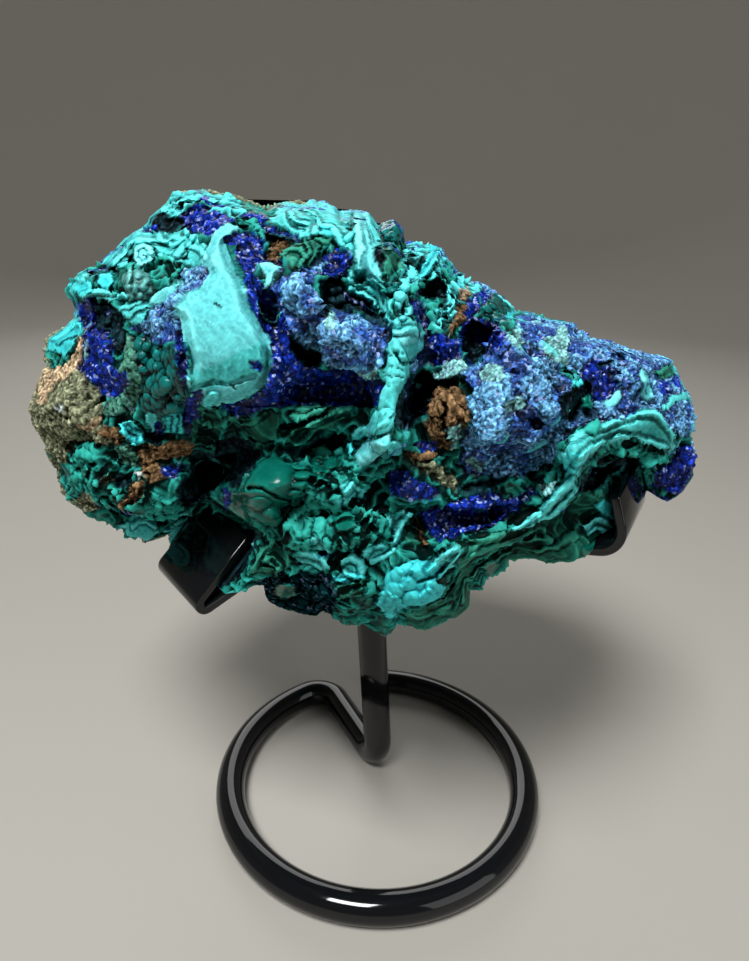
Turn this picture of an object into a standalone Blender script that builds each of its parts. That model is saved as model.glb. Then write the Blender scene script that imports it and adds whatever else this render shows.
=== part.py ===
"""Azurite and malachite specimen held by three strap claws on a bent rod stand."""

import math

import bmesh
import bpy
import numpy as np

# Lengths are in millimetres and are scaled to metres as each mesh is made
MM = 0.001

# Stand rod: one round rod bent into the ring foot, the leg and the post
ROD_RADIUS = 4.0
ROD_SIDES = 12
RING_RADIUS = 42.35
RING_FREE_END_DEG = 88.0
RING_TURN_IN_DEG = -233.0
RING_STEP_DEG = 7.5
LEG_CORNER = (-17.6, 39.6)
LEG_BEND_RADIUS = 7.5
POST_FOOT = (0.35, 4.6)
POST_BEND_RADIUS = 8.0
BEND_STEPS = 6
ROD_SHARP_ANGLE_DEG = 40.0

# Where a path bends, its section is stretched by no more than one over this share
MITRE_LIMIT = 0.5
STRAIGHT_ENOUGH = 1e-6

# Claw: three flat straps that meet on top of the post
HUB = (-4.6, 5.8)
HUB_UNDERSIDE = 85.5
STRAP_WIDTH = 20.0
STRAP_THICKNESS = 2.0
STRAP_BEND_STEPS = 5
STRAP_EDGE_BEVEL = 0.45
STRAP_EDGE_ANGLE_DEG = 50.0
TOUCH_GAP = 0.3

# The claw leans towards the front: its height grows by this share of the distance behind the hub
CLAW_SLOPE = 0.07

# Each claw: its direction, its outer face's line as (reach, height), and the bend radius at each
# corner of that line
CLAWS = {
    "claw_front_left": (
        218.75, ((0.0, HUB_UNDERSIDE), (33.0, HUB_UNDERSIDE), (60.8, 76.6), (39.2, 95.2)), (15.0, 2.6),
    ),
    "claw_front_right": (
        330.4, ((0.0, HUB_UNDERSIDE), (13.0, HUB_UNDERSIDE), (67.03, 96.9), (62.9, 109.2)), (20.0, 5.8),
    ),
    "claw_back": (
        94.6, ((0.0, HUB_UNDERSIDE), (14.0, HUB_UNDERSIDE), (44.2, 83.9), (46.9, 112.0)), (20.0, 7.5),
    ),
}

# Front view of the stone: the eye's place, its tilt and roll, and the view's pixel scale
EYE = np.array([-2.45, -156.7, 156.1])
VIEW_TILT = math.radians(21.03)
VIEW_ROLL = math.radians(1.06)
VIEW_FOCAL_PX = 683.0
VIEW_MIDDLE_PX = (374.5, 480.5)

# Outline of the stone in the front view, clockwise from the far left
OUTLINE_CENTRE_PX = (362.0, 404.0)
OUTLINE_SPAN_PX = (335.0, 223.0)
OUTLINE_PX = (
    (28, 408), (36, 385), (43, 363), (46, 340), (72, 316), (68, 285), (93, 265), (124, 237),
    (150, 216), (173, 191), (224, 190), (261, 202), (316, 199), (338, 209), (368, 211), (380, 223),
    (394, 219), (406, 238), (441, 247), (457, 269), (488, 285), (518, 310), (553, 318), (594, 336),
    (635, 347), (675, 361), (690, 393), (697, 416), (694, 440), (698, 457), (692, 482), (668, 501),
    (646, 492), (618, 520), (592, 558), (547, 565), (512, 562), (486, 581), (469, 608), (456, 618),
    (425, 631), (399, 626), (385, 637), (346, 626), (316, 617), (277, 607), (263, 588), (220, 595),
    (192, 575), (163, 540), (120, 536), (99, 524), (65, 501), (56, 472), (41, 440),
)

# How far back the stone's rim lies, by the direction in the view: 0 is right, 90 is up
RIM_DEPTHS = (
    (0, -4.0), (40, 3.0), (90, 8.0), (140, 4.0), (180, -8.0), (205, -10.0), (225, -24.0), (270, -33.0),
    (300, -30.0), (330, -20.0), (360, -4.0),
)
FRONT_DEPTH = -44.0
BACK_MIDDLE = (-2.0, 49.0, 110.0)
FRONT_ROUNDNESS = 0.78
BACK_ROUNDNESS = 0.80

# The front's relief and the back's fade into each other over these shares of the stone's depth,
# and before the small relief no lump shows past the outline by more than this many pixels
FRONT_FADE = 0.35
BACK_FADE = 0.45
OUTLINE_SLACK_PX = -2.0

# All of the front's relief is raised by this factor
RELIEF_SCALE = 1.25

# Relief of the front: name, middle in the view, half width and half height in the view, and
# the height towards the eye in millimetres, which is negative for a pit or a hollow
LUMPS = (
    ("upper_mass", 225, 325, 165, 92, 5.0),
    ("middle_recess", 245, 446, 140, 44, -6.5),
    ("lower_front", 385, 570, 115, 62, 4.5),
    ("right_slab", 520, 395, 95, 95, 3.0),
    ("ridge_shadow", 425, 370, 26, 90, -3.5),
    ("shield", 220, 348, 52, 66, 7.5),
    ("shield_neck", 226, 262, 24, 60, 3.5),
    ("left_crust", 122, 262, 46, 42, 4.0),
    ("rosette", 141, 256, 19, 19, 2.6),
    ("rosette_hole", 142, 262, 7, 7, -4.0),
    ("dark_botryoids", 133, 285, 15, 14, 2.5),
    ("crust_side", 84, 290, 20, 26, 2.0),
    ("azurite_column", 98, 345, 28, 44, 2.0),
    ("mossy_grains", 127, 369, 16, 20, 2.5),
    ("green_column", 172, 392, 30, 38, 3.0),
    ("brown_lobe", 62, 402, 36, 44, 5.0),
    ("pitted_green", 90, 470, 30, 28, 3.5),
    ("pitted_hole", 82, 472, 9, 8, -5.0),
    ("pitted_hole_small", 77, 450, 6, 6, -3.0),
    ("brown_knob", 134, 494, 20, 18, 3.5),
    ("low_left_cavity", 208, 474, 30, 26, -13.0),
    ("left_claw_room", 206, 540, 66, 58, -15.0),
    ("cavity_lip", 228, 516, 22, 14, 2.5),
    ("azurite_channel_top", 246, 246, 16, 26, -3.5),
    ("azurite_channel", 268, 318, 20, 44, -6.0),
    ("azurite_channel_foot", 322, 392, 56, 22, -5.0),
    ("brown_pocket", 280, 246, 13, 12, -5.0),
    ("knobbly_patch", 311, 250, 24, 18, 2.5),
    ("saddle_upper", 318, 296, 30, 28, 4.5),
    ("saddle_lower", 350, 338, 36, 30, 6.0),
    ("saddle_knob", 351, 263, 17, 15, 4.5),
    ("saddle_hollow", 326, 302, 14, 8, -4.5),
    ("saddle_shadow", 306, 356, 16, 12, -4.5),
    ("upper_folds", 300, 214, 26, 16, 4.0),
    ("upper_ridge", 345, 232, 40, 22, 5.0),
    ("ridge_knob", 391, 229, 15, 13, 4.0),
    ("ridge_pit", 377, 256, 9, 9, -4.0),
    ("ridge_pocket", 397, 280, 12, 12, -3.5),
    ("fan_folds", 424, 257, 24, 16, 3.5),
    ("folds_recess", 426, 294, 15, 14, -6.0),
    ("right_folds", 440, 300, 26, 36, 3.0),
    ("azurite_rib", 487, 296, 16, 22, 3.0),
    ("blue_hole", 482, 344, 18, 20, -9.0),
    ("blue_hole_rim", 505, 338, 14, 24, 3.0),
    ("blue_knob", 440, 344, 22, 22, 3.0),
    ("dark_cavity", 417, 394, 24, 22, -13.0),
    ("brown_lump", 447, 418, 20, 27, 5.0),
    ("granular_upper", 522, 352, 46, 36, 5.5),
    ("granular_lower", 510, 410, 56, 48, 6.5),
    ("granular_right", 556, 400, 24, 40, 4.0),
    ("lip_pit", 573, 379, 10, 10, -4.5),
    ("cleft", 570, 412, 12, 16, -5.0),
    ("right_end_upper", 622, 376, 38, 34, 4.5),
    ("right_end_nose", 672, 398, 30, 34, 4.0),
    ("right_lobe", 672, 474, 28, 26, 5.0),
    ("under_shelf", 560, 520, 90, 26, -4.0),
    ("under_shelf_hollow", 598, 472, 22, 14, -10.0),
    ("claw_pocket", 628, 482, 34, 30, -17.0),
    ("blue_lump_left", 420, 494, 34, 26, 5.0),
    ("blue_lump_middle", 470, 500, 28, 26, 6.0),
    ("blue_lump_right", 512, 486, 24, 24, 4.5),
    ("olive_patch", 424, 464, 22, 14, 3.0),
    ("cauliflower", 414, 582, 34, 34, 6.0),
    ("hanging_sheet", 446, 606, 22, 16, 3.0),
    ("right_sheet", 494, 572, 24, 14, 3.5),
    ("shelf_under", 548, 538, 44, 18, 3.0),
    ("folded_sheets", 288, 432, 56, 26, 3.5),
    ("lobed_botryoid", 268, 478, 34, 26, 7.0),
    ("lobe_finger", 304, 482, 14, 20, 4.0),
    ("lobe_low", 262, 512, 18, 14, 4.0),
    ("green_folds_upper", 330, 486, 26, 18, 4.5),
    ("green_folds_middle", 348, 530, 46, 20, 5.5),
    ("green_folds_left", 296, 532, 22, 20, 4.0),
    ("green_folds_low", 264, 566, 20, 16, 3.0),
    ("dark_bottom", 298, 596, 30, 18, -3.0),
    ("bottom_boss", 350, 596, 30, 24, 3.5),
)

# Raised ribs of the front: name, points in the view, half width in pixels, height in millimetres
RIBS = (
    ("ribbed_ridge", ((380, 262), (399, 292), (400, 330), (392, 390), (388, 436)), 17, 8.0),
    ("ridge_foot", ((388, 430), (382, 452), (360, 466)), 13, 3.5),
    ("shelf_crest", ((446, 552), (488, 534), (521, 520), (549, 502), (566, 482), (574, 452)), 15, 8.5),
    ("shelf_crest_right", ((574, 452), (597, 431), (628, 423), (654, 417), (680, 436)), 13, 7.0),
    ("second_crest", ((584, 462), (618, 444), (662, 447)), 8, 4.0),
    ("shield_left_edge", ((172, 292), (183, 330), (188, 392)), 9, 2.5),
    ("shield_right_edge", ((236, 246), (250, 312), (268, 340), (268, 380)), 9, 3.0),
    ("rosette_crust", ((78, 318), (92, 282), (112, 244), (160, 212)), 13, 3.0),
    ("brown_band", ((104, 438), (150, 448), (196, 436)), 10, 2.5),
    ("lower_left_rim", ((70, 492), (110, 522), (160, 530)), 13, 3.5),
    ("saddle_crest", ((292, 272), (322, 318), (372, 362)), 13, 3.0),
)

# Small relief all over: botryoid lumps in rows of sizes, as (spacing, height), with how steeply
# their sides fall, the part of their height that lies under the surface, and how much of it is
# lost among the blocky crystals
LUMP_SIZES = ((13.0, 2.6), (7.0, 1.7))
LUMP_SIDE_FALL = 0.9
LUMP_SUNK_SHARE = 0.6
LUMP_LOSS_IN_ZONE = 0.6

# Blocky crystals: their spacing, their height, and how far each is tipped and shifted
CRYSTAL_SPACING = 5.0
CRYSTAL_HEIGHT = 1.5
CRYSTAL_SHIFT = 2.0
CRYSTAL_SEED = 7
CRYSTAL_TILT_SEED = 3
CRYSTAL_KEY_STEPS = 10.0
ZONE_EDGE_SLOPE = 3.0

# Scattered cells: how far each one's point strays within its cell, and the draw of its numbers
CELL_JITTER = 0.7
CELL_KEYS = ((12.9898, 39.3468, 73.156), (78.233, 11.135, 52.235), (37.719, 83.155, 9.151))
CELL_KEY_SCALE = 43758.5453

# Zones of blocky crystals in the front view: middle, half width and half height
CRYSTAL_ZONES = (
    (515, 392, 62, 66), (335, 322, 42, 42), (628, 380, 50, 36), (470, 500, 68, 30), (672, 474, 26, 26),
    (100, 342, 24, 42), (200, 214, 34, 16), (266, 300, 20, 54),
)

# Middles of the zones of blocky crystals on the back, and how far each one reaches
BACK_CRYSTAL_ZONES = ((-38.0, 40.0, 122.0), (24.0, 46.0, 104.0), (58.0, 22.0, 112.0), (-66.0, 16.0, 104.0))
BACK_CRYSTAL_RADIUS = 26.0

# Lumps and hollows of the back, scattered by a seeded draw
BACK_SEED = 11
BACK_LUMPS = 90
BACK_LUMP_RADIUS = (6.0, 16.0)
BACK_LUMP_HEIGHT = (-5.5, 6.0)

# The stone's mesh before and after it is thinned
STONE_SUBDIVISIONS = 7
STONE_VOXEL = 0.9
STONE_TRIANGLES = 7800

# Room left between the stone and the straps' faces, beside the straps and over the hooks' ends,
# and how softly the stone gives way to them
SEAT_GAP = 1.1
SEAT_SIDE_ROOM = 2.2
HOOK_HEADROOM = 2.0
SEAT_FALLOFF = 4.0
SEAT_PASSES = 3

# Colours and roughness of the enamel and of the stone
ENAMEL_COLOUR = (0.012, 0.013, 0.015)
ENAMEL_ROUGHNESS = 0.18
STONE_COLOUR = (0.05, 0.22, 0.27)
STONE_ROUGHNESS = 0.6


def clear_scene():
    """Remove the objects that the file opens with."""
    for thing in list(bpy.data.objects):
        bpy.data.objects.remove(thing, do_unlink=True)


def make_material(name, colour, roughness):
    """Plain Principled material in the piece's own colour."""
    material = bpy.data.materials.new(name)
    material.use_nodes = True
    shader = material.node_tree.nodes["Principled BSDF"]
    shader.inputs["Base Color"].default_value = (*colour, 1.0)
    shader.inputs["Roughness"].default_value = roughness
    return material


def add_piece(name, mesh, material):
    """Link a mesh to the scene as a named object with its material."""
    mesh.materials.append(material)
    piece = bpy.data.objects.new(name, mesh)
    bpy.context.scene.collection.objects.link(piece)
    return piece


def mesh_from_rings(name, rings):
    """Mesh whose side walls join one ring of points to the next, with a face across each end."""
    sides = len(rings[0])
    points = [tuple(point) for ring in rings for point in ring]
    faces = []
    for row in range(len(rings) - 1):
        for side in range(sides):
            after = (side + 1) % sides
            low = row * sides
            high = low + sides
            faces.append((low + side, low + after, high + after, high + side))
    faces.append(tuple(reversed(range(sides))))
    faces.append(tuple(range(len(points) - sides, len(points))))
    mesh = bpy.data.meshes.new(name)
    mesh.from_pydata([tuple(MM * value for value in point) for point in points], [], faces)
    work = bmesh.new()
    work.from_mesh(mesh)
    bmesh.ops.recalc_face_normals(work, faces=work.faces)
    work.to_mesh(mesh)
    work.free()
    return mesh


def rounded_corner(before, corner, after, radius, steps):
    """Points of the arc that rounds the corner between two straight stretches."""
    inward = unit(before - corner)
    outward = unit(after - corner)
    half_angle = 0.5 * math.acos(float(np.clip(np.dot(inward, outward), -1.0, 1.0)))
    centre = corner + unit(inward + outward) * radius / math.sin(half_angle)
    start = corner + inward * radius / math.tan(half_angle) - centre
    sweep = math.pi - 2.0 * half_angle
    points = []
    for step in range(steps + 1):
        angle = sweep * step / steps
        along = -inward * math.sin(angle) * radius
        points.append(centre + start * math.cos(angle) + along)
    return points


def unit(vector):
    """The vector's direction."""
    return vector / np.linalg.norm(vector)


def directions_at(path, index):
    """Directions into a point of a path, out of it, and midway between the two."""
    before = path[max(index - 1, 0)]
    after = path[min(index + 1, len(path) - 1)]
    into = unit(path[index] - before if index else after - path[index])
    out = unit(after - path[index]) if index < len(path) - 1 else into
    return into, out, unit(into + out)


def rod_path():
    """Centreline of the stand rod from its free end, round the ring, to the top of the post."""
    points = []
    turns = int(round((RING_FREE_END_DEG - RING_TURN_IN_DEG) / RING_STEP_DEG))
    for turn in range(turns + 1):
        share = turn / turns
        angle = math.radians(RING_FREE_END_DEG + share * (RING_TURN_IN_DEG - RING_FREE_END_DEG))
        points.append(np.array([RING_RADIUS * math.cos(angle), RING_RADIUS * math.sin(angle), ROD_RADIUS]))
    corner = np.array([*LEG_CORNER, ROD_RADIUS])
    foot = np.array([*POST_FOOT, ROD_RADIUS])
    top = np.array([*HUB, HUB_UNDERSIDE - TOUCH_GAP])
    points += rounded_corner(points[-1], corner, foot, LEG_BEND_RADIUS, BEND_STEPS)
    points += rounded_corner(corner, foot, top, POST_BEND_RADIUS, BEND_STEPS)
    points.append(top)
    return points


def make_rod(material):
    """Rod swept along its path, with one flat of its section down so that the ring lies flat."""
    path = rod_path()
    corner_radius = ROD_RADIUS / math.cos(math.pi / ROD_SIDES)
    up = np.array([0.0, 0.0, 1.0])
    rings = []
    for index, point in enumerate(path):
        into, out, along = directions_at(path, index)
        up = unit(up - along * np.dot(up, along))
        across = np.cross(along, up)
        stretch = 1.0 / max(np.dot(along, into), MITRE_LIMIT)
        bend = out - into
        bend_way = unit(bend) if np.linalg.norm(bend) > STRAIGHT_ENOUGH else across
        ring = []
        for side in range(ROD_SIDES):
            angle = 2.0 * math.pi * (side + 0.5) / ROD_SIDES
            offset = corner_radius * (across * math.sin(angle) - up * math.cos(angle))
            offset = offset + bend_way * np.dot(offset, bend_way) * (stretch - 1.0)
            ring.append(point + offset)
        rings.append(ring)
    flatten_end(rings[-1], path[-1])
    mesh = mesh_from_rings("stand_rod", rings)
    mesh.shade_smooth()
    mesh.set_sharp_from_angle(angle=math.radians(ROD_SHARP_ANGLE_DEG))
    return add_piece("stand_rod", mesh, material)


def flatten_end(ring, end):
    """Cut the rod's last ring along the claw's slope, so that the straps lie flat on it."""
    for place, point in enumerate(ring):
        ring[place] = np.array([point[0], point[1], end[2] + CLAW_SLOPE * (point[1] - end[1])])


def strap_line(corners, radii):
    """Line of a strap's outer face in its own upright plane, as (reach, height) points."""
    places = [np.array([reach, 0.0, height]) for reach, height in corners]
    line = [places[0]]
    for index, radius in enumerate(radii):
        before, corner, after = places[index], places[index + 1], places[index + 2]
        line += rounded_corner(before, corner, after, radius, STRAP_BEND_STEPS)
    line.append(places[-1])
    return [np.array([point[0], point[2]]) for point in line]


def strap_faces(line):
    """Inner face of a strap and its outer face, as two lists of (reach, height) points."""
    inner = []
    for index, point in enumerate(line):
        into, _, along = directions_at(line, index)
        normal = np.array([-along[1], along[0]])
        inner.append(point + normal * STRAP_THICKNESS / max(np.dot(along, into), MITRE_LIMIT))
    return inner, line


def neighbour_half_angles(direction):
    """Half of the angle from a claw to the next claw on its left and on its right."""
    others = [claw[0] for claw in CLAWS.values() if claw[0] != direction]
    left = min((other - direction) % 360.0 for other in others)
    right = min((direction - other) % 360.0 for other in others)
    return math.radians(left / 2.0), math.radians(right / 2.0)


def strap_point(direction, reach, side, height):
    """Place of a point of a claw, from its reach, sideways offset and height."""
    angle = math.radians(direction)
    along = np.array([math.cos(angle), math.sin(angle), 0.0])
    left = np.array([-math.sin(angle), math.cos(angle), 0.0])
    place = along * reach + left * side
    place[2] = height + CLAW_SLOPE * place[1]
    return place + np.array([HUB[0], HUB[1], 0.0])


def make_strap(name, direction, corners, radii, material):
    """Flat strap bent into a hook, with its inner end mitred against the other two straps."""
    line = strap_line(corners, radii)
    inner, outer = strap_faces(line)
    half = STRAP_WIDTH / 2.0
    left_half, right_half = neighbour_half_angles(direction)
    clear = TOUCH_GAP / 2.0
    left_shoulder = half / math.tan(left_half) + clear / math.sin(left_half)
    right_shoulder = half / math.tan(right_half) + clear / math.sin(right_half)
    tip = clear / math.sin(min(left_half, right_half))
    work = bmesh.new()
    rows = []
    for index in range(1, len(line)):
        row = []
        for face, side in ((inner, half), (outer, half), (outer, -half), (inner, -half)):
            row.append(strap_point(direction, face[index][0], side, face[index][1]))
        rows.append(row)
    shoulders = []
    for face, side in ((inner, half), (outer, half), (outer, -half), (inner, -half)):
        reach = left_shoulder if side > 0 else right_shoulder
        shoulders.append(strap_point(direction, reach, side, face[0][1]))
    rows.insert(0, shoulders)
    vertices = [[work.verts.new(point * MM) for point in row] for row in rows]
    top_tip = work.verts.new(strap_point(direction, tip, 0.0, inner[0][1]) * MM)
    low_tip = work.verts.new(strap_point(direction, tip, 0.0, outer[0][1]) * MM)
    for low, high in zip(vertices[:-1], vertices[1:]):
        for side in range(4):
            after = (side + 1) % 4
            work.faces.new((low[side], low[after], high[after], high[side]))
    first = vertices[0]
    work.faces.new((first[3], first[0], top_tip))
    work.faces.new((first[1], first[2], low_tip))
    work.faces.new((first[0], first[1], low_tip, top_tip))
    work.faces.new((first[2], first[3], top_tip, low_tip))
    work.faces.new(vertices[-1])
    bmesh.ops.recalc_face_normals(work, faces=work.faces)
    mesh = bpy.data.meshes.new(name)
    work.to_mesh(mesh)
    work.free()
    piece = add_piece(name, mesh, material)
    bevel = piece.modifiers.new("rounded_edges", "BEVEL")
    bevel.width = STRAP_EDGE_BEVEL * MM
    bevel.segments = 1
    bevel.limit_method = "ANGLE"
    bevel.angle_limit = math.radians(STRAP_EDGE_ANGLE_DEG)
    return piece


def view_rays(pixels):
    """Directions from the eye through points of the front view."""
    across = (pixels[:, 0] - VIEW_MIDDLE_PX[0]) / VIEW_FOCAL_PX
    down = (pixels[:, 1] - VIEW_MIDDLE_PX[1]) / VIEW_FOCAL_PX
    right = math.cos(VIEW_ROLL) * across + math.sin(VIEW_ROLL) * down
    low = -math.sin(VIEW_ROLL) * across + math.cos(VIEW_ROLL) * down
    ahead = math.cos(VIEW_TILT) - low * math.sin(VIEW_TILT)
    rise = -math.sin(VIEW_TILT) - low * math.cos(VIEW_TILT)
    return np.stack([right, ahead, rise], axis=1)


def view_pixels(points):
    """Places of points in the front view."""
    away = points - EYE
    depth = away[:, 1] * math.cos(VIEW_TILT) - away[:, 2] * math.sin(VIEW_TILT)
    low = -(away[:, 1] * math.sin(VIEW_TILT) + away[:, 2] * math.cos(VIEW_TILT))
    across = (math.cos(VIEW_ROLL) * away[:, 0] - math.sin(VIEW_ROLL) * low) / depth
    down = (math.sin(VIEW_ROLL) * away[:, 0] + math.cos(VIEW_ROLL) * low) / depth
    columns = VIEW_MIDDLE_PX[0] + VIEW_FOCAL_PX * across
    rows = VIEW_MIDDLE_PX[1] + VIEW_FOCAL_PX * down
    return np.stack([columns, rows], axis=1)


def at_depth(pixels, depth):
    """Points that are seen at the given pixels and lie at the given distance back."""
    rays = view_rays(pixels)
    reach = (depth - EYE[1]) / rays[:, 1]
    return EYE + rays * reach[:, None]


def unit_sphere(subdivisions):
    """Evenly meshed ball of radius one."""
    work = bmesh.new()
    bmesh.ops.create_icosphere(work, subdivisions=subdivisions, radius=1.0)
    mesh = bpy.data.meshes.new("specimen")
    work.to_mesh(mesh)
    work.free()
    return mesh


def read_points(mesh):
    """The mesh's points as rows of an array."""
    flat = np.empty(len(mesh.vertices) * 3)
    mesh.vertices.foreach_get("co", flat)
    return flat.reshape(-1, 3)


def read_normals(mesh, points):
    """Outward directions of the mesh's points."""
    mesh.vertices.foreach_set("co", points.ravel())
    mesh.update()
    flat = np.empty(len(mesh.vertices) * 3)
    mesh.vertex_normals.foreach_get("vector", flat)
    return flat.reshape(-1, 3)


def outline_reach(heading):
    """Distance in pixels from the outline's centre to the outline, in each direction."""
    outline = np.array(OUTLINE_PX, dtype=float) - np.array(OUTLINE_CENTRE_PX)
    bearing = np.degrees(np.arctan2(-outline[:, 1], outline[:, 0])) % 360.0
    distance = np.hypot(outline[:, 0], outline[:, 1])
    order = np.argsort(bearing)
    return np.interp(heading, bearing[order], distance[order], period=360.0)


def body_points(ball):
    """Wrap the ball to the stone's outline in front and to a rounded back."""
    centre = np.array(OUTLINE_CENTRE_PX)
    across = ball[:, 0] * OUTLINE_SPAN_PX[0]
    rise = ball[:, 2] * OUTLINE_SPAN_PX[1]
    heading = np.degrees(np.arctan2(rise, across)) % 360.0
    edge = outline_reach(heading)
    rim_heading = np.array([row[0] for row in RIM_DEPTHS], dtype=float)
    rim_depth = np.array([row[1] for row in RIM_DEPTHS])
    rim = np.interp(heading, rim_heading, rim_depth)
    spread = np.sqrt(np.clip(1.0 - ball[:, 1] ** 2, 0.0, 1.0))
    way = np.stack([np.cos(np.radians(heading)), -np.sin(np.radians(heading))], axis=1)
    in_front = np.clip(-ball[:, 1], 0.0, 1.0)
    behind = np.clip(ball[:, 1], 0.0, 1.0)
    front_pixels = centre + way * (edge * spread)[:, None]
    depth = rim + (FRONT_DEPTH - rim) * in_front ** FRONT_ROUNDNESS
    front = at_depth(front_pixels, depth)
    rim_points = at_depth(centre + way * edge[:, None], rim)
    middle = at_depth(centre[None, :], np.array([np.mean(rim_depth)]))[0]
    back_way = np.array(BACK_MIDDLE) - middle
    back = middle + (rim_points - middle) * spread[:, None] ** BACK_ROUNDNESS
    back = back + back_way * behind[:, None]
    return np.where((ball[:, 1] < 0.0)[:, None], front, back)


def keep_inside_outline(points):
    """Draw in whatever shows past the stone's outline in the front view."""
    centre = np.array(OUTLINE_CENTRE_PX)
    away = view_pixels(points) - centre
    distance = np.maximum(np.hypot(away[:, 0], away[:, 1]), 1.0)
    heading = np.degrees(np.arctan2(-away[:, 1], away[:, 0])) % 360.0
    limit = outline_reach(heading) + OUTLINE_SLACK_PX
    share = np.minimum(limit / distance, 1.0)
    return at_depth(centre + away * share[:, None], points[:, 1])


def smooth_step(value):
    """Ease from nought to one."""
    value = np.clip(value, 0.0, 1.0)
    return value * value * (3.0 - 2.0 * value)


def dome(distance):
    """Rounded bump: one in the middle, level there, and nothing from a distance of one outwards."""
    return smooth_step(1.0 - distance ** 2)


def rib_distance(pixels, line):
    """Distance from each point of the view to a broken line."""
    nearest = np.full(len(pixels), np.inf)
    for start, end in zip(line[:-1], line[1:]):
        start = np.array(start, dtype=float)
        along = np.array(end, dtype=float) - start
        share = np.clip((pixels - start) @ along / np.dot(along, along), 0.0, 1.0)
        away = pixels - start - share[:, None] * along
        nearest = np.minimum(nearest, np.hypot(away[:, 0], away[:, 1]))
    return nearest


def front_relief(pixels):
    """Height of the hand-placed relief towards the eye."""
    height = np.zeros(len(pixels))
    for _, column, row, half_width, half_height, rise in LUMPS:
        away = np.hypot((pixels[:, 0] - column) / half_width, (pixels[:, 1] - row) / half_height)
        height += rise * dome(away)
    for _, line, half_width, rise in RIBS:
        height += rise * dome(rib_distance(pixels, line) / half_width)
    return height * RELIEF_SCALE


def cell_noise(points, spacing, seed):
    """Distance to the nearest scattered point, as a share of the spacing, and that point."""
    grid = points / spacing
    base = np.floor(grid)
    nearest = np.full(len(points), np.inf)
    owner = np.zeros((len(points), 3))
    for step in np.ndindex(3, 3, 3):
        cell = base + np.array(step) - 1.0
        place = cell + 0.5 + CELL_JITTER * (hashed(cell, seed) - 0.5)
        away = np.linalg.norm(grid - place, axis=1)
        closer = away < nearest
        nearest = np.where(closer, away, nearest)
        owner[closer] = place[closer]
    return nearest, owner * spacing


def hashed(cells, seed):
    """Three numbers from nought to one for each whole-number cell, the same on every run."""
    return np.modf(np.abs(np.sin(cells @ np.array(CELL_KEYS) + seed) * CELL_KEY_SCALE))[0]


def small_relief(points, pixels, in_front):
    """Botryoid lumps all over, and blocky crystals with flat faces in their zones."""
    height = np.zeros(len(points))
    for seed, (spacing, rise) in enumerate(LUMP_SIZES):
        nearest, _ = cell_noise(points, spacing, seed)
        bump = np.sqrt(np.clip(1.0 - LUMP_SIDE_FALL * nearest ** 2, 0.0, 1.0))
        height += rise * (bump - LUMP_SUNK_SHARE)
    zone = np.zeros(len(points))
    for column, row, half_width, half_height in CRYSTAL_ZONES:
        away = np.hypot((pixels[:, 0] - column) / half_width, (pixels[:, 1] - row) / half_height)
        zone = np.maximum(zone, np.clip(ZONE_EDGE_SLOPE * (1.0 - away), 0.0, 1.0) * in_front)
    for middle in BACK_CRYSTAL_ZONES:
        away = np.linalg.norm(points - np.array(middle), axis=1) / BACK_CRYSTAL_RADIUS
        zone = np.maximum(zone, np.clip(ZONE_EDGE_SLOPE * (1.0 - away), 0.0, 1.0) * (1.0 - in_front))
    _, owner = cell_noise(points, CRYSTAL_SPACING, CRYSTAL_SEED)
    tilt = hashed(np.round(owner * CRYSTAL_KEY_STEPS), CRYSTAL_TILT_SEED) - 0.5
    face = np.sum((points - owner) * tilt, axis=1) + CRYSTAL_SHIFT * tilt[:, 0]
    crystal = CRYSTAL_HEIGHT * np.clip(face, -1.0, 1.0)
    return height * (1.0 - LUMP_LOSS_IN_ZONE * zone) + crystal * zone


def back_relief(points):
    """Lumps and hollows scattered over the sides and the back."""
    draw = np.random.default_rng(BACK_SEED)
    away = points - points.mean(axis=0)
    away = away / np.linalg.norm(away, axis=1)[:, None]
    height = np.zeros(len(points))
    for _ in range(BACK_LUMPS):
        way = draw.normal(size=3)
        way[1] = abs(way[1])
        radius = draw.uniform(*BACK_LUMP_RADIUS)
        rise = draw.uniform(*BACK_LUMP_HEIGHT)
        spot = points[np.argmax(away @ way)]
        height += rise * dome(np.linalg.norm(points - spot, axis=1) / radius)
    return height


def claw_places(points, direction):
    """Reach, sideways offset and height of points, as a claw's own upright plane has them."""
    angle = math.radians(direction)
    away = points[:, :2] - np.array(HUB)
    reach = away[:, 0] * math.cos(angle) + away[:, 1] * math.sin(angle)
    side = -away[:, 0] * math.sin(angle) + away[:, 1] * math.cos(angle)
    return reach, side, points[:, 2] - CLAW_SLOPE * away[:, 1]


def settle_on_straps(points):
    """Lift the stone's underside clear of the straps and draw it in behind their hooks."""
    for direction, corners, radii in CLAWS.values():
        inner = np.array(strap_faces(strap_line(corners, radii))[0])
        turn = int(np.argmax(inner[:, 0]))
        floor, wall = inner[: turn + 1], inner[turn:]
        reach, side, height = claw_places(points, direction)
        hold = smooth_step(1.0 - (np.abs(side) - STRAP_WIDTH / 2 - SEAT_SIDE_ROOM) / SEAT_FALLOFF)
        seat = np.interp(reach, floor[:, 0], floor[:, 1]) + SEAT_GAP
        near_hub = smooth_step((reach + SEAT_FALLOFF) / SEAT_FALLOFF)
        lift = np.maximum(seat - height, 0.0) * hold * near_hub
        points[:, 2] += lift
        height = height + lift
        limit = np.interp(height, wall[:, 1], wall[:, 0]) - SEAT_GAP
        fade = smooth_step(1.0 - (height - corners[-1][1] - HOOK_HEADROOM) / SEAT_FALLOFF)
        pull = np.maximum(reach - limit, 0.0) * hold * fade
        angle = math.radians(direction)
        points[:, 0] -= pull * math.cos(angle)
        points[:, 1] -= pull * math.sin(angle)
    return points


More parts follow.
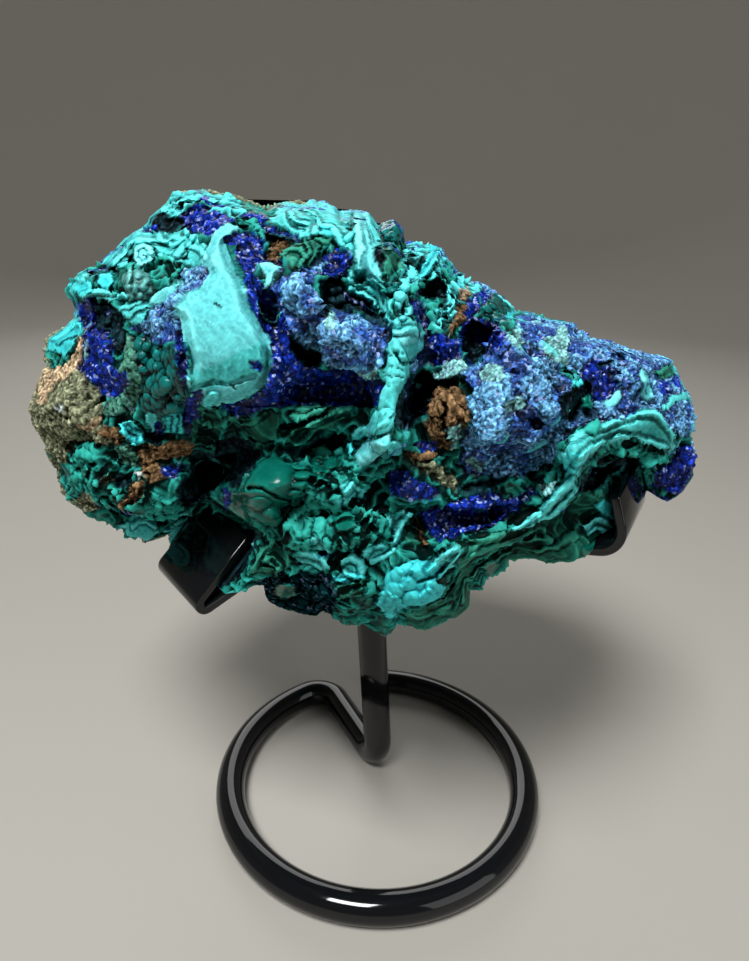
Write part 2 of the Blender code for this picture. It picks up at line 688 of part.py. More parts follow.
def make_stone(material):
    """The grown lump: a wrapped ball with its relief, thinned where it is plain."""
    mesh = unit_sphere(STONE_SUBDIVISIONS)
    ball = read_points(mesh)
    in_front = smooth_step(-ball[:, 1] / FRONT_FADE)
    behind = smooth_step((ball[:, 1] + FRONT_FADE) / BACK_FADE)
    points = body_points(ball)
    normals = read_normals(mesh, points)
    pixels = view_pixels(points)
    to_eye = EYE - points
    to_eye = to_eye / np.linalg.norm(to_eye, axis=1)[:, None]
    points = points + to_eye * (front_relief(pixels) * in_front)[:, None]
    points = points + normals * (back_relief(points) * behind)[:, None]
    points = keep_inside_outline(settle_on_straps(points))
    normals = read_normals(mesh, points)
    points = points + normals * small_relief(points, pixels, in_front)[:, None]
    for _ in range(SEAT_PASSES):
        points = settle_on_straps(points)
    mesh.vertices.foreach_set("co", (points * MM).ravel())
    mesh.update()
    stone = add_piece("specimen", mesh, material)
    even = stone.modifiers.new("even", "REMESH")
    even.mode = "VOXEL"
    even.voxel_size = STONE_VOXEL * MM
    shape = stone.evaluated_get(bpy.context.evaluated_depsgraph_get())
    triangles = sum(len(face.vertices) - 2 for face in shape.data.polygons)
    thin = stone.modifiers.new("thinned", "DECIMATE")
    thin.ratio = STONE_TRIANGLES / triangles
    return stone


def centre_on_box(pieces):
    """Move every mesh so that the origin lies under the middle of the whole object."""
    graph = bpy.context.evaluated_depsgraph_get()
    corners = []
    for piece in pieces:
        shape = piece.evaluated_get(graph)
        corners += [tuple(corner) for corner in shape.bound_box]
    corners = np.array(corners)
    middle = (corners.min(axis=0) + corners.max(axis=0)) / 2.0
    for piece in pieces:
        points = read_points(piece.data)
        points[:, :2] -= middle[:2]
        piece.data.vertices.foreach_set("co", points.ravel())
        piece.data.update()


def main():
    """Build the stone and its stand."""
    clear_scene()
    enamel = make_material("black_enamel", ENAMEL_COLOUR, ENAMEL_ROUGHNESS)
    azurite = make_material("azurite_malachite", STONE_COLOUR, STONE_ROUGHNESS)
    pieces = [make_rod(enamel)]
    for name, (direction, corners, radii) in CLAWS.items():
        pieces.append(make_strap(name, direction, corners, radii, enamel))
    pieces.append(make_stone(azurite))
    centre_on_box(pieces)


main()
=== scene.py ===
"""Azurite and malachite specimen on its claw stand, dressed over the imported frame."""

import math

import bpy
import numpy as np
from bpy.props import FloatProperty, FloatVectorProperty, PointerProperty
from bpy.types import Operator, Panel, PropertyGroup
from mathutils import Matrix, Vector


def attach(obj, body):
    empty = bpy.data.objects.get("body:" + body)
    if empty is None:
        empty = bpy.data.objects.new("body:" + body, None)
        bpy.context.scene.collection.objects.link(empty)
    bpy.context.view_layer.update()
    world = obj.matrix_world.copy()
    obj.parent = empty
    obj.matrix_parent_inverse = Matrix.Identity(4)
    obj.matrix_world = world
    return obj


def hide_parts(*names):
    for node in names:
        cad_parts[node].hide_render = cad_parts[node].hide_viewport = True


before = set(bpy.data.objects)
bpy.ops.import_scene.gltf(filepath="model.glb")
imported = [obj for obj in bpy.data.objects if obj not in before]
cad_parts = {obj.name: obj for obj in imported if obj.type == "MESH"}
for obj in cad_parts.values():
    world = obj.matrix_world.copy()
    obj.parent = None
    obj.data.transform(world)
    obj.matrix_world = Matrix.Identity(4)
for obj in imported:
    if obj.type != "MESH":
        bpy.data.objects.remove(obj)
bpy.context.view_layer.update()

bl_info = {
    "name": "Mineral specimen on a claw stand",
    "version": (1, 0, 0),
    "blender": (4, 5, 0),
    "location": "View3D > Sidebar > Specimen",
    "description": "Builds the azurite and malachite specimen, its claw stand and a studio stage",
    "category": "Object",
}

MM = 0.001
MERGE_DISTANCE = 0.00001
CUT_THRESHOLD = 1e-7

# The camera, in millimetres in the part's frame, and its picture in pixels.
EYE = np.array([3.65609723, -156.44615134, 156.1])
VIEW_TILT = math.radians(21.03)
VIEW_ROLL = math.radians(1.06)
VIEW_FOCAL_PX = 683.0
VIEW_MIDDLE_PX = (374.5, 480.5)
PHOTO_HEIGHT_PX = 961.0
SENSOR_WIDTH = 36.0

# The stand in millimetres, from the ring's centre: the rod's centre line and the straps' outer lines.
RING_CENTRE = (6.10609723, 0.25384866)
RING_FREE_END_DEG = 88.0
RING_TURN_IN_DEG = -233.0
RING_STEP_DEG = 3.0
LEG_CORNER = (-17.6, 39.6, 4.0)
POST_FOOT = (0.35, 4.6, 4.0)
POST_TOP = (-4.6, 5.8, 85.2)
LEG_BEND_RADIUS = 7.5
POST_BEND_RADIUS = 8.0
ROD_BEND_STEPS = 14
ROD_END_ROUNDING = 0.0008
STRAP_BEND_STEPS = 12
HUB = np.array((-4.6, 5.8)) + np.array(RING_CENTRE)
CLAW_SLOPE = 0.07
CLAWS = {
    "claw_front_left": (218.75, ((0, 85.5), (33, 85.5), (60.8, 76.6), (39.2, 95.2)), (15, 2.6)),
    "claw_front_right": (330.4, ((0, 85.5), (13, 85.5), (67.03, 96.9), (62.9, 109.2)), (20, 5.8)),
    "claw_back": (94.6, ((0, 85.5), (14, 85.5), (44.2, 83.9), (46.9, 112)), (20, 7.5)),
}

# The stage: the floor's bowl, its wall as a multiple of the sweep, and each lamp's place and size in metres
# and power setting.
FLOOR_SIDES = 96
SWEEP_STEPS = 16
INNER_FLOOR_SHARE = 0.8
WALL_HEIGHT = 3
LAMP_TARGET = (0, 0, 0.1)
LAMPS = {
    "key_light": ((-0.15, -0.42, 0.85), 0.3, "key"),
    "fill_light": ((0.6, -0.5, 0.35), 0.6, "fill"),
    "back_light": ((-0.15, 0.75, 0.62), 0.6, "back"),
}

# How the stone is worked: rounds of smoothing and their swell, how squarely a face meets the eye where the
# fine mesh and the drawn relief start, how wide the relief fades beside the straps and how far they matter,
# the rounds and depths by which fine and broad hollows are told, and the steps that set the stone back
# behind a claw. Lengths are in millimetres.
SMOOTH_ROUNDS = 60
SWELL = 0.52
FINE_MESH_FACING = -0.1
DRAWN_FACING = 0.14
STRAP_FADE = 2.2
STRAP_REACH = 6.0
# The fine and broad hollows found with these set the painted shade and painted highlight of the stone's
# colour.
FINE_ROUNDS = 4
BROAD_ROUNDS = 24
FINE_HOLLOW = 0.22
BROAD_HOLLOW = 0.7
SET_BACK_STEPS = 40
SET_BACK_STEP = 0.35
CLAW_DEPTH = 16.0

# Cuts through the stone, in metres: the piece cut off, a point of the plane, and the side that comes away.
STONE_CUTS = (
    ("stone_back", (0, 0.0065, 0), (0, 1, 0)),
    ("stone_left", (-0.0223, 0, 0), (-1, 0, 0)),
    ("stone_middle", (0.0166, 0, 0), (-1, 0, 0)),
)

# The stone's outline in the front view, clockwise from its upper left, in pixels, how finely the stone's
# edge is looked for, and how far it may be drawn in or out to meet the outline.
OUTLINE_SLOTS = 240
OUTLINE_CHANGE = (-0.08, 0.05)
OUTLINE_CENTRE_PX = (362.0, 404.0)
OUTLINE_PX = (
    "44,364 42,350 45,338 58,326 72,317 74,308 64,291 70,276 93,265 115,248 124,237 142,227 150,216 "
    "165,204 173,191 196,188 224,190 242,196 261,202 280,202 316,199 327,200 338,209 368,211 379,223 "
    "394,219 404,228 404,240 426,242 441,247 457,269 473,279 488,285 518,310 531,311 553,318 573,320 "
    "594,336 620,340 635,347 675,361 682,379 690,393 697,416 694,444 698,457 692,482 668,501 649,490 "
    "644,500 632,530 592,558 547,565 532,559 512,562 504,573 486,581 484,591 471,591 469,608 456,618 "
    "425,631 399,625 391,635 385,637 365,626 346,626 323,612 316,617 277,607 265,599 263,585 242,592 "
    "220,595 190,570 166,545 163,538 143,545 120,536 115,529 99,524 79,511 65,501 58,486 56,472 45,454 "
    "41,440 31,424 28,408 43,363"
)

# The hanging lobe at the right in the same view: middle, half sizes and how far it is drawn down, its foot,
# and where its trimming starts before and after it has its relief.
LOBE_PX = ((672.0, 488.0), (26.0, 36.0), 17.0)
LOBE_TRIM_STARTS_PX = (641.0, 644.0)
LOBE_FOOT_PX = "640,488 648,490 656,496 667,502 676,497 684,490 692,478 700,462"

# The claws' visible outlines in the same view, and the bearing where the outline isn't fitted for them.
CLAW_PX = {
    "claw_front_left": "202,500 208,498 254,530 251,541 225,569 217,581 205,597 193,616 155,585 154,582 "
    "157,570 165,557",
    "claw_front_right": "610,496 628,459 637,460 646,490 646,500 642,510 632,528 621,546 605,555 594,557 "
    "599,541 600,520 611,510",
}
CLAW_BEARING_DEG = 342.0

# The smooth velvet shield's outline in the same view, how wide its edge passes over, and its rough span.
SHIELD_EDGE_PX = 12.0
SHIELD_SPAN_PX = 60.0
SHIELD_PX = (
    "214,232 236,236 246,292 262,326 274,350 274,372 262,392 240,404 214,412 196,406 184,390 186,366 "
    "178,322 170,306 186,290 208,270"
)

# Each mineral's relief, roughness, grain and glitter, how dark the painted shade in its hollows is and how
# light the painted highlight on its edges.
MINERALS = {
    "pale": ("skin", 0.6, 0.18, 0.0, 0.45, 0.2),
    "velvet": ("skin", 0.55, 0.22, 0.0, 0.25, 0.5),
    "cyan": ("skin", 0.45, 0.15, 0.0, 0.25, 0.5),
    "crust": ("worms", 0.55, 0.3, 0.0, 0.06, 0.6),
    "sheet": ("sheets", 0.5, 0.25, 0.0, 0.1, 0.7),
    "leaf": ("leaves", 0.45, 0.25, 0.0, 0.05, 0.8),
    "lobe": ("smooth", 0.2, 0.12, 0.0, 0.15, 0.6),
    "bead": ("beads", 0.24, 0.2, 0.0, 0.05, 0.4),
    # Dark botryoids at the stone's foot, painted nearly black as the shade under the stone.
    "night": ("beads", 0.3, 0.2, 0.2, 0.1, 0.3),
    "beadlight": ("smooth", 0.4, 0.3, 0.0, 0.15, 0.4),
    "moss": ("grains", 0.6, 0.8, 0.1, 0.1, 0.1),
    "azurite": ("crystals", 0.28, 0.7, 0.8, 0.15, 0.0),
    "granular": ("rubble", 0.5, 1.0, 0.5, 0.1, 0.1),
    "frost": ("rubble", 0.6, 0.8, 0.3, 0.2, 0.1),
    "limonite": ("earth", 0.85, 1.0, 0.0, 0.12, 0.2),
    "sand": ("earth", 0.85, 0.9, 0.0, 0.2, 0.2),
    "ochre": ("earth", 0.88, 1.0, 0.0, 0.1, 0.1),
    "chalk": ("earth", 0.7, 0.5, 0.0, 0.5, 0.0),
    # Dark mineral painted near-black as the shade in cavities and gaps.
    "dark": ("grains", 0.6, 0.4, 0.05, 0.2, 0.1),
}
KINDS = tuple(MINERALS)
GLASSY = ("lobe", "bead", "beadlight", "azurite")

# The stone's three finishes and how strongly each reflects: earthy, glassy, and darkest of all.
FINISHES = (("dull_mineral", 0.04), ("glassy_mineral", 0.17), ("dark_mineral", 0.0))
# Colour of the glints painted onto rare glittering cells.
PAINTED_GLINT_COLOUR = (0.34, 0.46, 0.85, 1.0)


# Small helpers


def trail(text):
    """Points of the front view, written as x,y pairs."""
    return np.array([[float(n) for n in pair.split(",")] for pair in text.split()])


def entries(numbers, *texts):
    """What stands between the semicolons: so many words or numbers, and the rest as one text."""
    for entry in ";".join(texts).split(";"):
        words = entry.split()
        yield *words[:numbers], " ".join(words[numbers:])


def smooth_step(value):
    """Ease from nought to one."""
    value = np.clip(value, 0.0, 1.0)
    return value * value * (3.0 - 2.0 * value)


def dome(distance):
    """Rounded bump: one in the middle, nothing from a distance of one outwards."""
    return smooth_step(1.0 - distance ** 2)


def view_pixels(points):
    """Places of points in the front view."""
    away = points - EYE
    depth = away[:, 1] * math.cos(VIEW_TILT) - away[:, 2] * math.sin(VIEW_TILT)
    low = -(away[:, 1] * math.sin(VIEW_TILT) + away[:, 2] * math.cos(VIEW_TILT))
    across = (math.cos(VIEW_ROLL) * away[:, 0] - math.sin(VIEW_ROLL) * low) / depth
    down = (math.sin(VIEW_ROLL) * away[:, 0] + math.cos(VIEW_ROLL) * low) / depth
    return np.stack(
        [VIEW_MIDDLE_PX[0] + VIEW_FOCAL_PX * across, VIEW_MIDDLE_PX[1] + VIEW_FOCAL_PX * down], axis=1
    )


def view_rays(pixels):
    """Directions from the eye through points of the front view."""
    across = (pixels[:, 0] - VIEW_MIDDLE_PX[0]) / VIEW_FOCAL_PX
    down = (pixels[:, 1] - VIEW_MIDDLE_PX[1]) / VIEW_FOCAL_PX
    right = math.cos(VIEW_ROLL) * across + math.sin(VIEW_ROLL) * down
    low = -math.sin(VIEW_ROLL) * across + math.cos(VIEW_ROLL) * down
    ahead = math.cos(VIEW_TILT) - low * math.sin(VIEW_TILT)
    rise = -math.sin(VIEW_TILT) - low * math.cos(VIEW_TILT)
    return np.stack([right, ahead, rise], axis=1)


def move_in_view(points, pixels):
    """Put points at these places of the front view, each as far back as it was."""
    rays = view_rays(pixels)
    return EYE + rays * ((points[:, 1] - EYE[1]) / rays[:, 1])[:, None]


def unit_rows(rows):
    """Rows made one long."""
    return rows / np.maximum(np.linalg.norm(rows, axis=1), 1e-9)[:, None]


def read_points(mesh):
    """The mesh's points in millimetres."""
    flat = np.empty(len(mesh.vertices) * 3)
    mesh.vertices.foreach_get("co", flat)
    return flat.reshape(-1, 3) / MM


def write_points(mesh, points):
    """Put the mesh's points, given in millimetres, back."""
    mesh.vertices.foreach_set("co", (points * MM).ravel())
    mesh.update()


def read_normals(mesh):
    """Outward directions of the mesh's points."""
    flat = np.empty(len(mesh.vertices) * 3)
    mesh.vertex_normals.foreach_get("vector", flat)
    return flat.reshape(-1, 3)


def read_edges(mesh):
    """Pairs of neighbouring points."""
    flat = np.empty(len(mesh.edges) * 2, dtype=np.int64)
    mesh.edges.foreach_get("vertices", flat)
    return flat.reshape(-1, 2)


def add_field(mesh, name, values):
    """Store three numbers for each point of the mesh as a colour."""
    layer = mesh.attributes.new(name, "FLOAT_COLOR", "POINT")
    full = np.ones((len(values), 4), dtype=np.float32)
    full[:, :3] = values
    layer.data.foreach_set("color", full.ravel())


# Noise

TURN = np.array(Matrix.Rotation(0.7, 3, Vector((0.6, 0.5, 0.62)).normalized()))
SCATTER_WAY = np.array((12.9898, 78.233, 37.719))
SCATTER_SEED = 5.71
SCATTER_SIZE = 43758.5453
SPECK_SIZE = 0.4


def lattice(cells, seed):
    """A number from nought to one for each whole-number cell."""
    scatter = np.sin(cells @ SCATTER_WAY + seed * SCATTER_SEED) * SCATTER_SIZE
    return np.modf(np.abs(scatter))[0]


def noise(points, size, seed):
    """Smooth random waves from minus one to one, about size across."""
    grid = points @ TURN / size + seed * 3.17
    base = np.floor(grid)
    part = smooth_step(grid - base)
    total = np.zeros(len(points))
    for corner in np.ndindex(2, 2, 2):
        shares = [part[:, k] if corner[k] else 1.0 - part[:, k] for k in range(3)]
        total += shares[0] * shares[1] * shares[2] * lattice(base + np.array(corner), seed)
    return 2.0 * total - 1.0


def layered(points, size, seed, layers=3, fall=0.5):
    """Noise with finer noise on top of it, each layer weaker by the share fall."""
    total, weight, share = np.zeros(len(points)), 1.0, 0.0
    for layer in range(layers):
        total += weight * noise(points, size / 2 ** layer, seed + layer)
        share += weight
        weight *= fall
    return total / share


def ridged(points, size, seed):
    """Sharp-crested worm-like ridges, from nought to one."""
    return 1.0 - np.clip(np.abs(noise(points, size, seed)) * 2.2, 0.0, 1.0)


def cells(points, size, seed):
    """Distances to the two nearest scattered points, as shares of size, and the nearest one's cell."""
    grid = points @ TURN / size
    base = np.floor(grid)
    nearest = np.full(len(points), 9.0)
    second = np.full(len(points), 9.0)
    owner = np.zeros((len(points), 3))
    for step in np.ndindex(3, 3, 3):
        cell = base + np.array(step) - 1.0
        shift = np.stack([lattice(cell, seed + k) for k in (1, 2, 3)], axis=1)
        away = np.linalg.norm(grid - cell - 0.15 - 0.7 * shift, axis=1)
        second = np.minimum(second, np.maximum(nearest, away))
        closer = away < nearest
        nearest = np.where(closer, away, nearest)
        owner[closer] = cell[closer]
    return nearest, second, owner


# The stone's map

# Minerals over one another, from the lowest, by region. Each is a kind, a rise in millimetres, a soft edge
# in pixels and the patch's corners.
# Patches of the kind dark are painted shade in cavities and gaps.
PATCHES = {
    "upper left": """
crust 0.6 4 163,212 166,200 173,191 196,188 215,190 236,194 242,200 232,206 214,204 200,200 186,202 176,208
168,216;
azurite 0.3 3 193,190 204,194 214,197 226,200 236,198 230,206 214,204 204,199;
crust 0.4 4 206,206 232,204 244,208 240,220 226,226 210,216;
azurite -0.8 4 176,210 188,204 204,203 214,208 226,216 236,220 222,226 210,236 200,234 190,228 180,222;
crust 0.5 3 150,214 160,205 174,204 186,206 176,212 160,213;
dark -1.5 3 151,215 172,212 184,220 182,226 170,232 156,229 150,222;
azurite 0.0 3 124,240 142,226 152,218 152,226 140,234 128,241;
velvet 1.0 4 118,242 140,231 156,228 172,232 186,229 198,236 206,250 208,266 196,268 176,262 160,256 152,248
132,246 120,262 112,268 104,264;
pale 1.2 3 130,246 140,242 150,246 153,252 151,261 140,265 131,259;
dark -2.0 3 121,252 128,250 130,262 126,268 121,262;
lobe 0.5 3 114,266 124,262 128,272 126,288 118,291 113,284;
beadlight 0.2 3 121,274 134,266 150,274 153,292 142,300 126,297;
cyan 0.8 2 94,273 104,271 112,280 108,292 100,290;
cyan 0.8 2 72,286 76,276 86,276 88,290 80,296 72,292;
velvet 0.5 3 70,274 80,266 92,268 88,278 78,282 70,281;
dark -1.5 2 89,272 96,270 98,280 92,284;
dark -1.2 2 98,266 112,264 114,272 104,270;
velvet 0.6 3 78,297 92,289 110,291 124,293 130,299 110,302 84,301;
leaf 0.2 3 63,290 70,282 74,300 78,310 74,320 66,304;
leaf 0.3 3 150,262 166,256 178,262 180,276 176,284 160,290 150,284;
dark -2.0 2 176,270 190,269 186,281 177,282;
dark -1.5 2 176,257 182,254 186,247 189,258 181,261;
pale 0.8 3 150,297 164,286 184,281 187,286 172,300 156,306 148,304;
granular 0.2 3 186,276 200,266 212,264 214,276 206,290 188,292 176,302 166,316 152,320 150,308 166,300
180,288;
velvet 1.0 4 108,314 122,304 142,300 152,304 150,316 142,332 130,324 120,316;
azurite -0.3 3 76,300 92,296 98,306 92,324 108,328 112,346 108,366 118,374 128,380 124,398 112,398 100,392
92,382 76,374 78,350 76,326;
dark -1.2 3 92,306 112,304 124,316 128,330 124,352 114,350 110,332 92,326;
cyan 1.0 3 43,350 46,337 60,325 76,317 75,330 68,346 58,358 50,352;
leaf -0.6 2 44,353 54,352 57,361 45,364;
sand 0.2 3 74,334 80,340 80,360 76,372 66,378 56,378 60,364 68,350;
bead 0.0 4 130,338 152,334 160,344 156,352 178,342 186,362 182,384 194,400 176,424 150,422 140,404 138,380;
moss 0.3 3 128,336 138,346 134,362 140,376 142,396 130,418 120,400 118,380 114,370 122,352;
granular 0.0 3 130,330 150,318 166,304 176,312 182,326 182,340 162,346 146,336;
azurite -0.6 3 168,332 182,328 186,352 190,370 186,392 178,376 176,352
""",
    "the velvet shield and the channel beside it": """
azurite -1.0 4 233,250 242,242 256,244 268,254 276,258 284,262 280,272 266,262 256,266 262,290 268,296
284,292 286,328 296,342 306,352 308,366 322,374 350,374 380,378 382,396 374,408 340,408 300,402 262,408
240,414 222,410 250,400 264,386 272,366 270,342 258,322 248,302 244,284 236,266;
pale 2.4 12 227,222 240,226 236,236 226,244 232,262 238,272 246,292 250,308 262,326 270,342 272,362 268,378
258,392 240,402 216,408 200,404 190,396 186,380 190,362 184,344 180,322 172,308 186,294 200,288 210,272
200,262 206,250 214,232;
velvet 0.0 3 188,372 214,366 240,352 262,340 270,352 270,366 250,378 222,384 192,392;
azurite -0.5 2 251,360 258,358 263,366 260,372 252,370;
azurite 0.6 3 238,212 252,207 264,212 268,224 282,230 298,232 297,240 284,236 266,232 258,222 246,218;
dark -3.0 3 264,232 280,236 295,240 292,246 272,250 264,244;
azurite -0.3 3 224,236 236,232 252,230 262,238 264,250 250,248 238,242 226,242;
pale 0.8 2 256,262 270,260 281,267 274,274 272,284 264,291 266,276;
ochre -1.5 3 268,246 290,243 296,247 284,254 276,262 268,256;
sheet 0.6 3 280,254 296,240 312,238 332,240 322,250 308,262 300,270 286,262;
granular 0.8 4 268,292 280,276 300,266 318,272 320,280 308,284 316,296 320,308 328,322 334,312 350,310
368,318 388,326 386,346 380,366 376,378 352,372 328,372 322,360 318,348 300,344 286,330 280,312;
azurite 1.2 4 306,264 322,256 336,248 350,254 353,264 344,276 330,279 316,274;
granular 0.2 3 296,268 316,256 330,258 322,268 304,276;
dark -5.0 4 320,284 340,276 348,288 358,296 374,298 392,326 376,322 352,309 334,313 326,320 318,306;
dark -4.0 5 286,332 306,346 322,350 320,370 306,368 294,352;
frost 0.2 2 324,318 334,322 336,334 328,332;
frost 0.2 2 358,370 372,368 382,364 378,376 364,380
""",
    "the upper ridge": """
velvet 0.8 4 262,216 278,204 300,200 318,198 338,209 368,211 378,226 382,240 384,250 372,256 376,270 384,282
376,286 362,278 350,284 344,276 354,262 350,252 338,248 330,238 318,236 300,236 288,230 274,224;
pale 0.3 3 352,212 368,212 372,234 374,256 382,276 366,280 356,262 356,236;
cyan 0.2 2 322,228 330,226 336,238 328,238;
leaf -0.4 2 346,218 354,216 352,232 346,228;
bead 1.5 3 378,224 386,219 398,219 404,230 402,242 392,246 382,240;
sheet 0.4 3 384,246 396,242 406,250 402,268 388,278 380,268;
dark -2.5 3 372,250 380,244 386,256 380,267 374,262;
bead 0.0 3 382,280 404,276 410,286 400,296 386,294;
velvet 0.8 3 344,280 354,284 368,282 378,286 388,304 396,328 388,326 376,312 370,300 356,298 346,288;
crust 0.6 3 404,246 420,242 436,244 448,256 458,270 456,276 442,274 420,282 406,292 398,290 400,270;
cyan 0.4 2 430,246 437,250 436,262 428,274 420,280 416,278 424,264;
leaf 0.2 3 444,262 456,268 458,276 450,282 442,274;
crust 0.6 3 446,284 460,276 474,277 482,290 470,294 462,304 452,316 446,330 434,330 436,312 446,300;
dark -3.5 3 410,297 424,286 438,276 446,286 448,298 430,301 416,300;
crust 0.4 3 394,294 412,298 418,312 408,320 394,314;
sand 0.3 2 462,286 470,284 474,294 466,300 460,296;
ochre 0.2 3 456,306 468,302 470,310 458,326 448,334 450,320;
azurite 0.3 3 480,292 486,284 493,290 492,298 482,304;
azurite 0.3 3 468,300 478,292 480,304 474,318 466,318;
bead 0.3 3 490,298 502,293 512,304 518,310 508,322 498,326 484,318 480,308;
cyan 0.3 2 510,310 520,308 516,316 508,320;
azurite -0.2 3 412,300 424,306 428,320 430,336 444,334 458,338 462,354 448,368 430,366 420,352 422,330
414,312;
azurite -0.2 3 462,322 474,316 492,318 502,328 508,334 500,340 480,330 464,334;
azurite -6.0 4 460,332 474,320 496,328 502,336 496,350 484,358 470,362 462,350;
dark -1.0 3 462,336 474,324 476,346 494,346 484,357 470,361 463,350;
azurite 0.8 2 500,336 508,334 510,346 502,356 494,354;
granular 0.2 3 400,364 414,354 426,346 430,366 414,374;
velvet 1.0 4 392,320 404,314 418,322 426,334 422,350 408,362 396,366 390,350;
pale 0.3 3 396,332 420,332 424,340 404,346 394,344;
velvet 1.2 4 384,350 392,336 400,342 404,352 410,362 410,378 400,392 398,410 392,430 376,436 380,400 384,380
""",
    "the granular mass and the right end": """
granular 0.8 4 470,366 484,359 496,352 508,338 520,318 524,309 540,316 556,318 574,322 594,336 620,340
636,348 655,353 672,360 680,376 690,392 694,404 697,418 692,440 676,430 664,416 650,410 620,418 596,422
578,426 570,434 560,444 556,462 530,474 500,480 466,476 456,464 462,440 470,420 470,396 464,376;
frost 0.2 3 480,374 490,364 502,366 498,380 486,386;
frost 0.2 3 540,344 556,334 566,322 574,330 564,352 568,364 556,360 548,352;
frost 0.1 3 506,330 520,324 530,340 518,350 508,344;
frost 0.4 3 430,374 448,362 462,356 470,368 454,380 436,386;
frost 0.4 3 462,460 472,456 484,466 480,474 466,470;
frost 0.1 3 500,400 520,396 524,406 508,412;
leaf -1.5 2 564,368 576,370 582,378 576,384 566,378;
cyan 0.6 2 572,382 580,377 584,384 580,391 574,388;
azurite -0.6 3 584,360 596,358 612,364 618,390 606,400 594,396 584,380;
dark -2.5 3 566,392 578,388 588,380 592,396 580,412 572,424 562,416 560,402;
dark -1.5 2 596,364 606,360 616,358 612,364 600,368;
lobe 0.5 3 580,402 588,396 594,402 592,412 582,410;
pale 0.5 2 602,403 610,399 614,392 620,390 622,398 616,406 606,409;
pale 0.6 2 640,374 644,368 650,376 653,386 656,398 648,400 640,396 644,386 642,378;
sheet 0.6 2 658,372 668,364 678,368 676,376 664,378;
azurite 0.0 2 664,380 678,378 682,394 668,396;
velvet 0.5 2 668,406 680,395 690,389 691,396 680,404 672,410;
azurite 0.6 4 650,474 664,468 676,460 684,448 698,444 706,458 700,486 688,506 668,522 654,516 648,500;
leaf 0.2 2 642,478 650,470 656,474 650,486 645,487;
leaf 0.0 3 606,452 640,446 672,450 676,460 650,472 640,466 620,464;
velvet 1.4 4 572,438 580,432 596,428 610,420 630,416 644,409 656,410 668,420 680,434 682,446 676,452 664,448
650,444 630,438 614,440 600,448 590,456 582,466 578,476 568,492 558,506 546,514 540,506 548,496 560,486
564,470 562,456 566,446;
cyan 0.3 3 564,458 572,452 580,456 578,470 570,476 562,470;
dark -5.0 4 580,482 590,464 604,454 622,454 636,460 640,466 628,474 612,472 600,486 586,494 578,492
""",
    "the middle: cavity, ochre lump and deep azurite": """
dark -6.0 5 400,402 406,380 424,370 436,380 454,380 460,388 440,396 432,410 418,422 404,432 397,420;
sheet -1.5 3 442,386 452,379 466,380 474,396 466,404 458,392 448,392;
ochre -1.0 7 428,400 436,392 452,386 464,392 469,408 467,424 461,440 450,448 438,444 430,436 424,424 430,411;
ochre 0.3 3 426,430 444,430 446,442 430,442;
frost 0.2 3 446,430 458,426 462,440 452,448;
azurite 0.0 3 410,444 434,440 442,450 424,454;
ochre 0.2 3 400,448 420,454 438,452 440,458 424,462 404,460;
limonite 0.4 3 400,454 416,462 430,464 448,468 458,480 456,490 440,484 424,474 406,466;
azurite 0.4 4 388,478 392,470 404,470 416,478 430,484 440,496 430,500 412,500 396,496 388,490;
azurite 1.0 4 420,516 440,506 462,500 476,492 500,492 506,500 512,496 530,484 538,490 530,504 516,516
500,524 474,532 450,536 440,542 428,530;
dark -2.5 3 456,486 480,480 498,478 504,484 496,491 476,492 462,497;
lobe 0.8 3 500,485 512,478 520,484 526,492 516,498 506,494;
frost 0.3 3 536,480 542,474 550,484 556,480 556,490 546,496 540,490
""",
    "the lower right": """
sheet 0.2 4 452,548 470,538 500,530 520,532 548,518 572,500 600,490 612,500 616,520 606,544 592,557 560,562
530,558 512,562 500,564 486,570 474,582 472,598 466,612 452,622 430,630 404,626 412,612 436,604 448,584
456,566;
velvet 1.4 3 510,526 526,518 540,510 552,496 560,486 570,480 578,488 572,500 562,512 548,518 532,526 516,531;
velvet 1.4 3 426,568 440,552 452,546 462,548 456,562 444,572 434,578 426,576;
cyan 0.8 3 384,580 396,566 412,560 424,560 438,562 446,572 436,580 446,588 442,598 428,606 412,606 404,612
396,622 384,616 376,602 384,590;
velvet 0.5 3 574,522 584,514 598,512 606,522 600,531 588,526 578,530;
cyan 0.4 3 592,506 604,498 612,504 608,514 596,514;
lobe 0.4 3 572,540 586,534 598,544 592,556 576,552;
lobe 0.4 3 486,570 500,564 506,572 500,582 486,582;
sheet 0.3 3 400,526 410,522 420,530 428,544 414,548 402,540;
ochre 0.2 2 412,520 420,524 430,546 422,546 416,532
""",
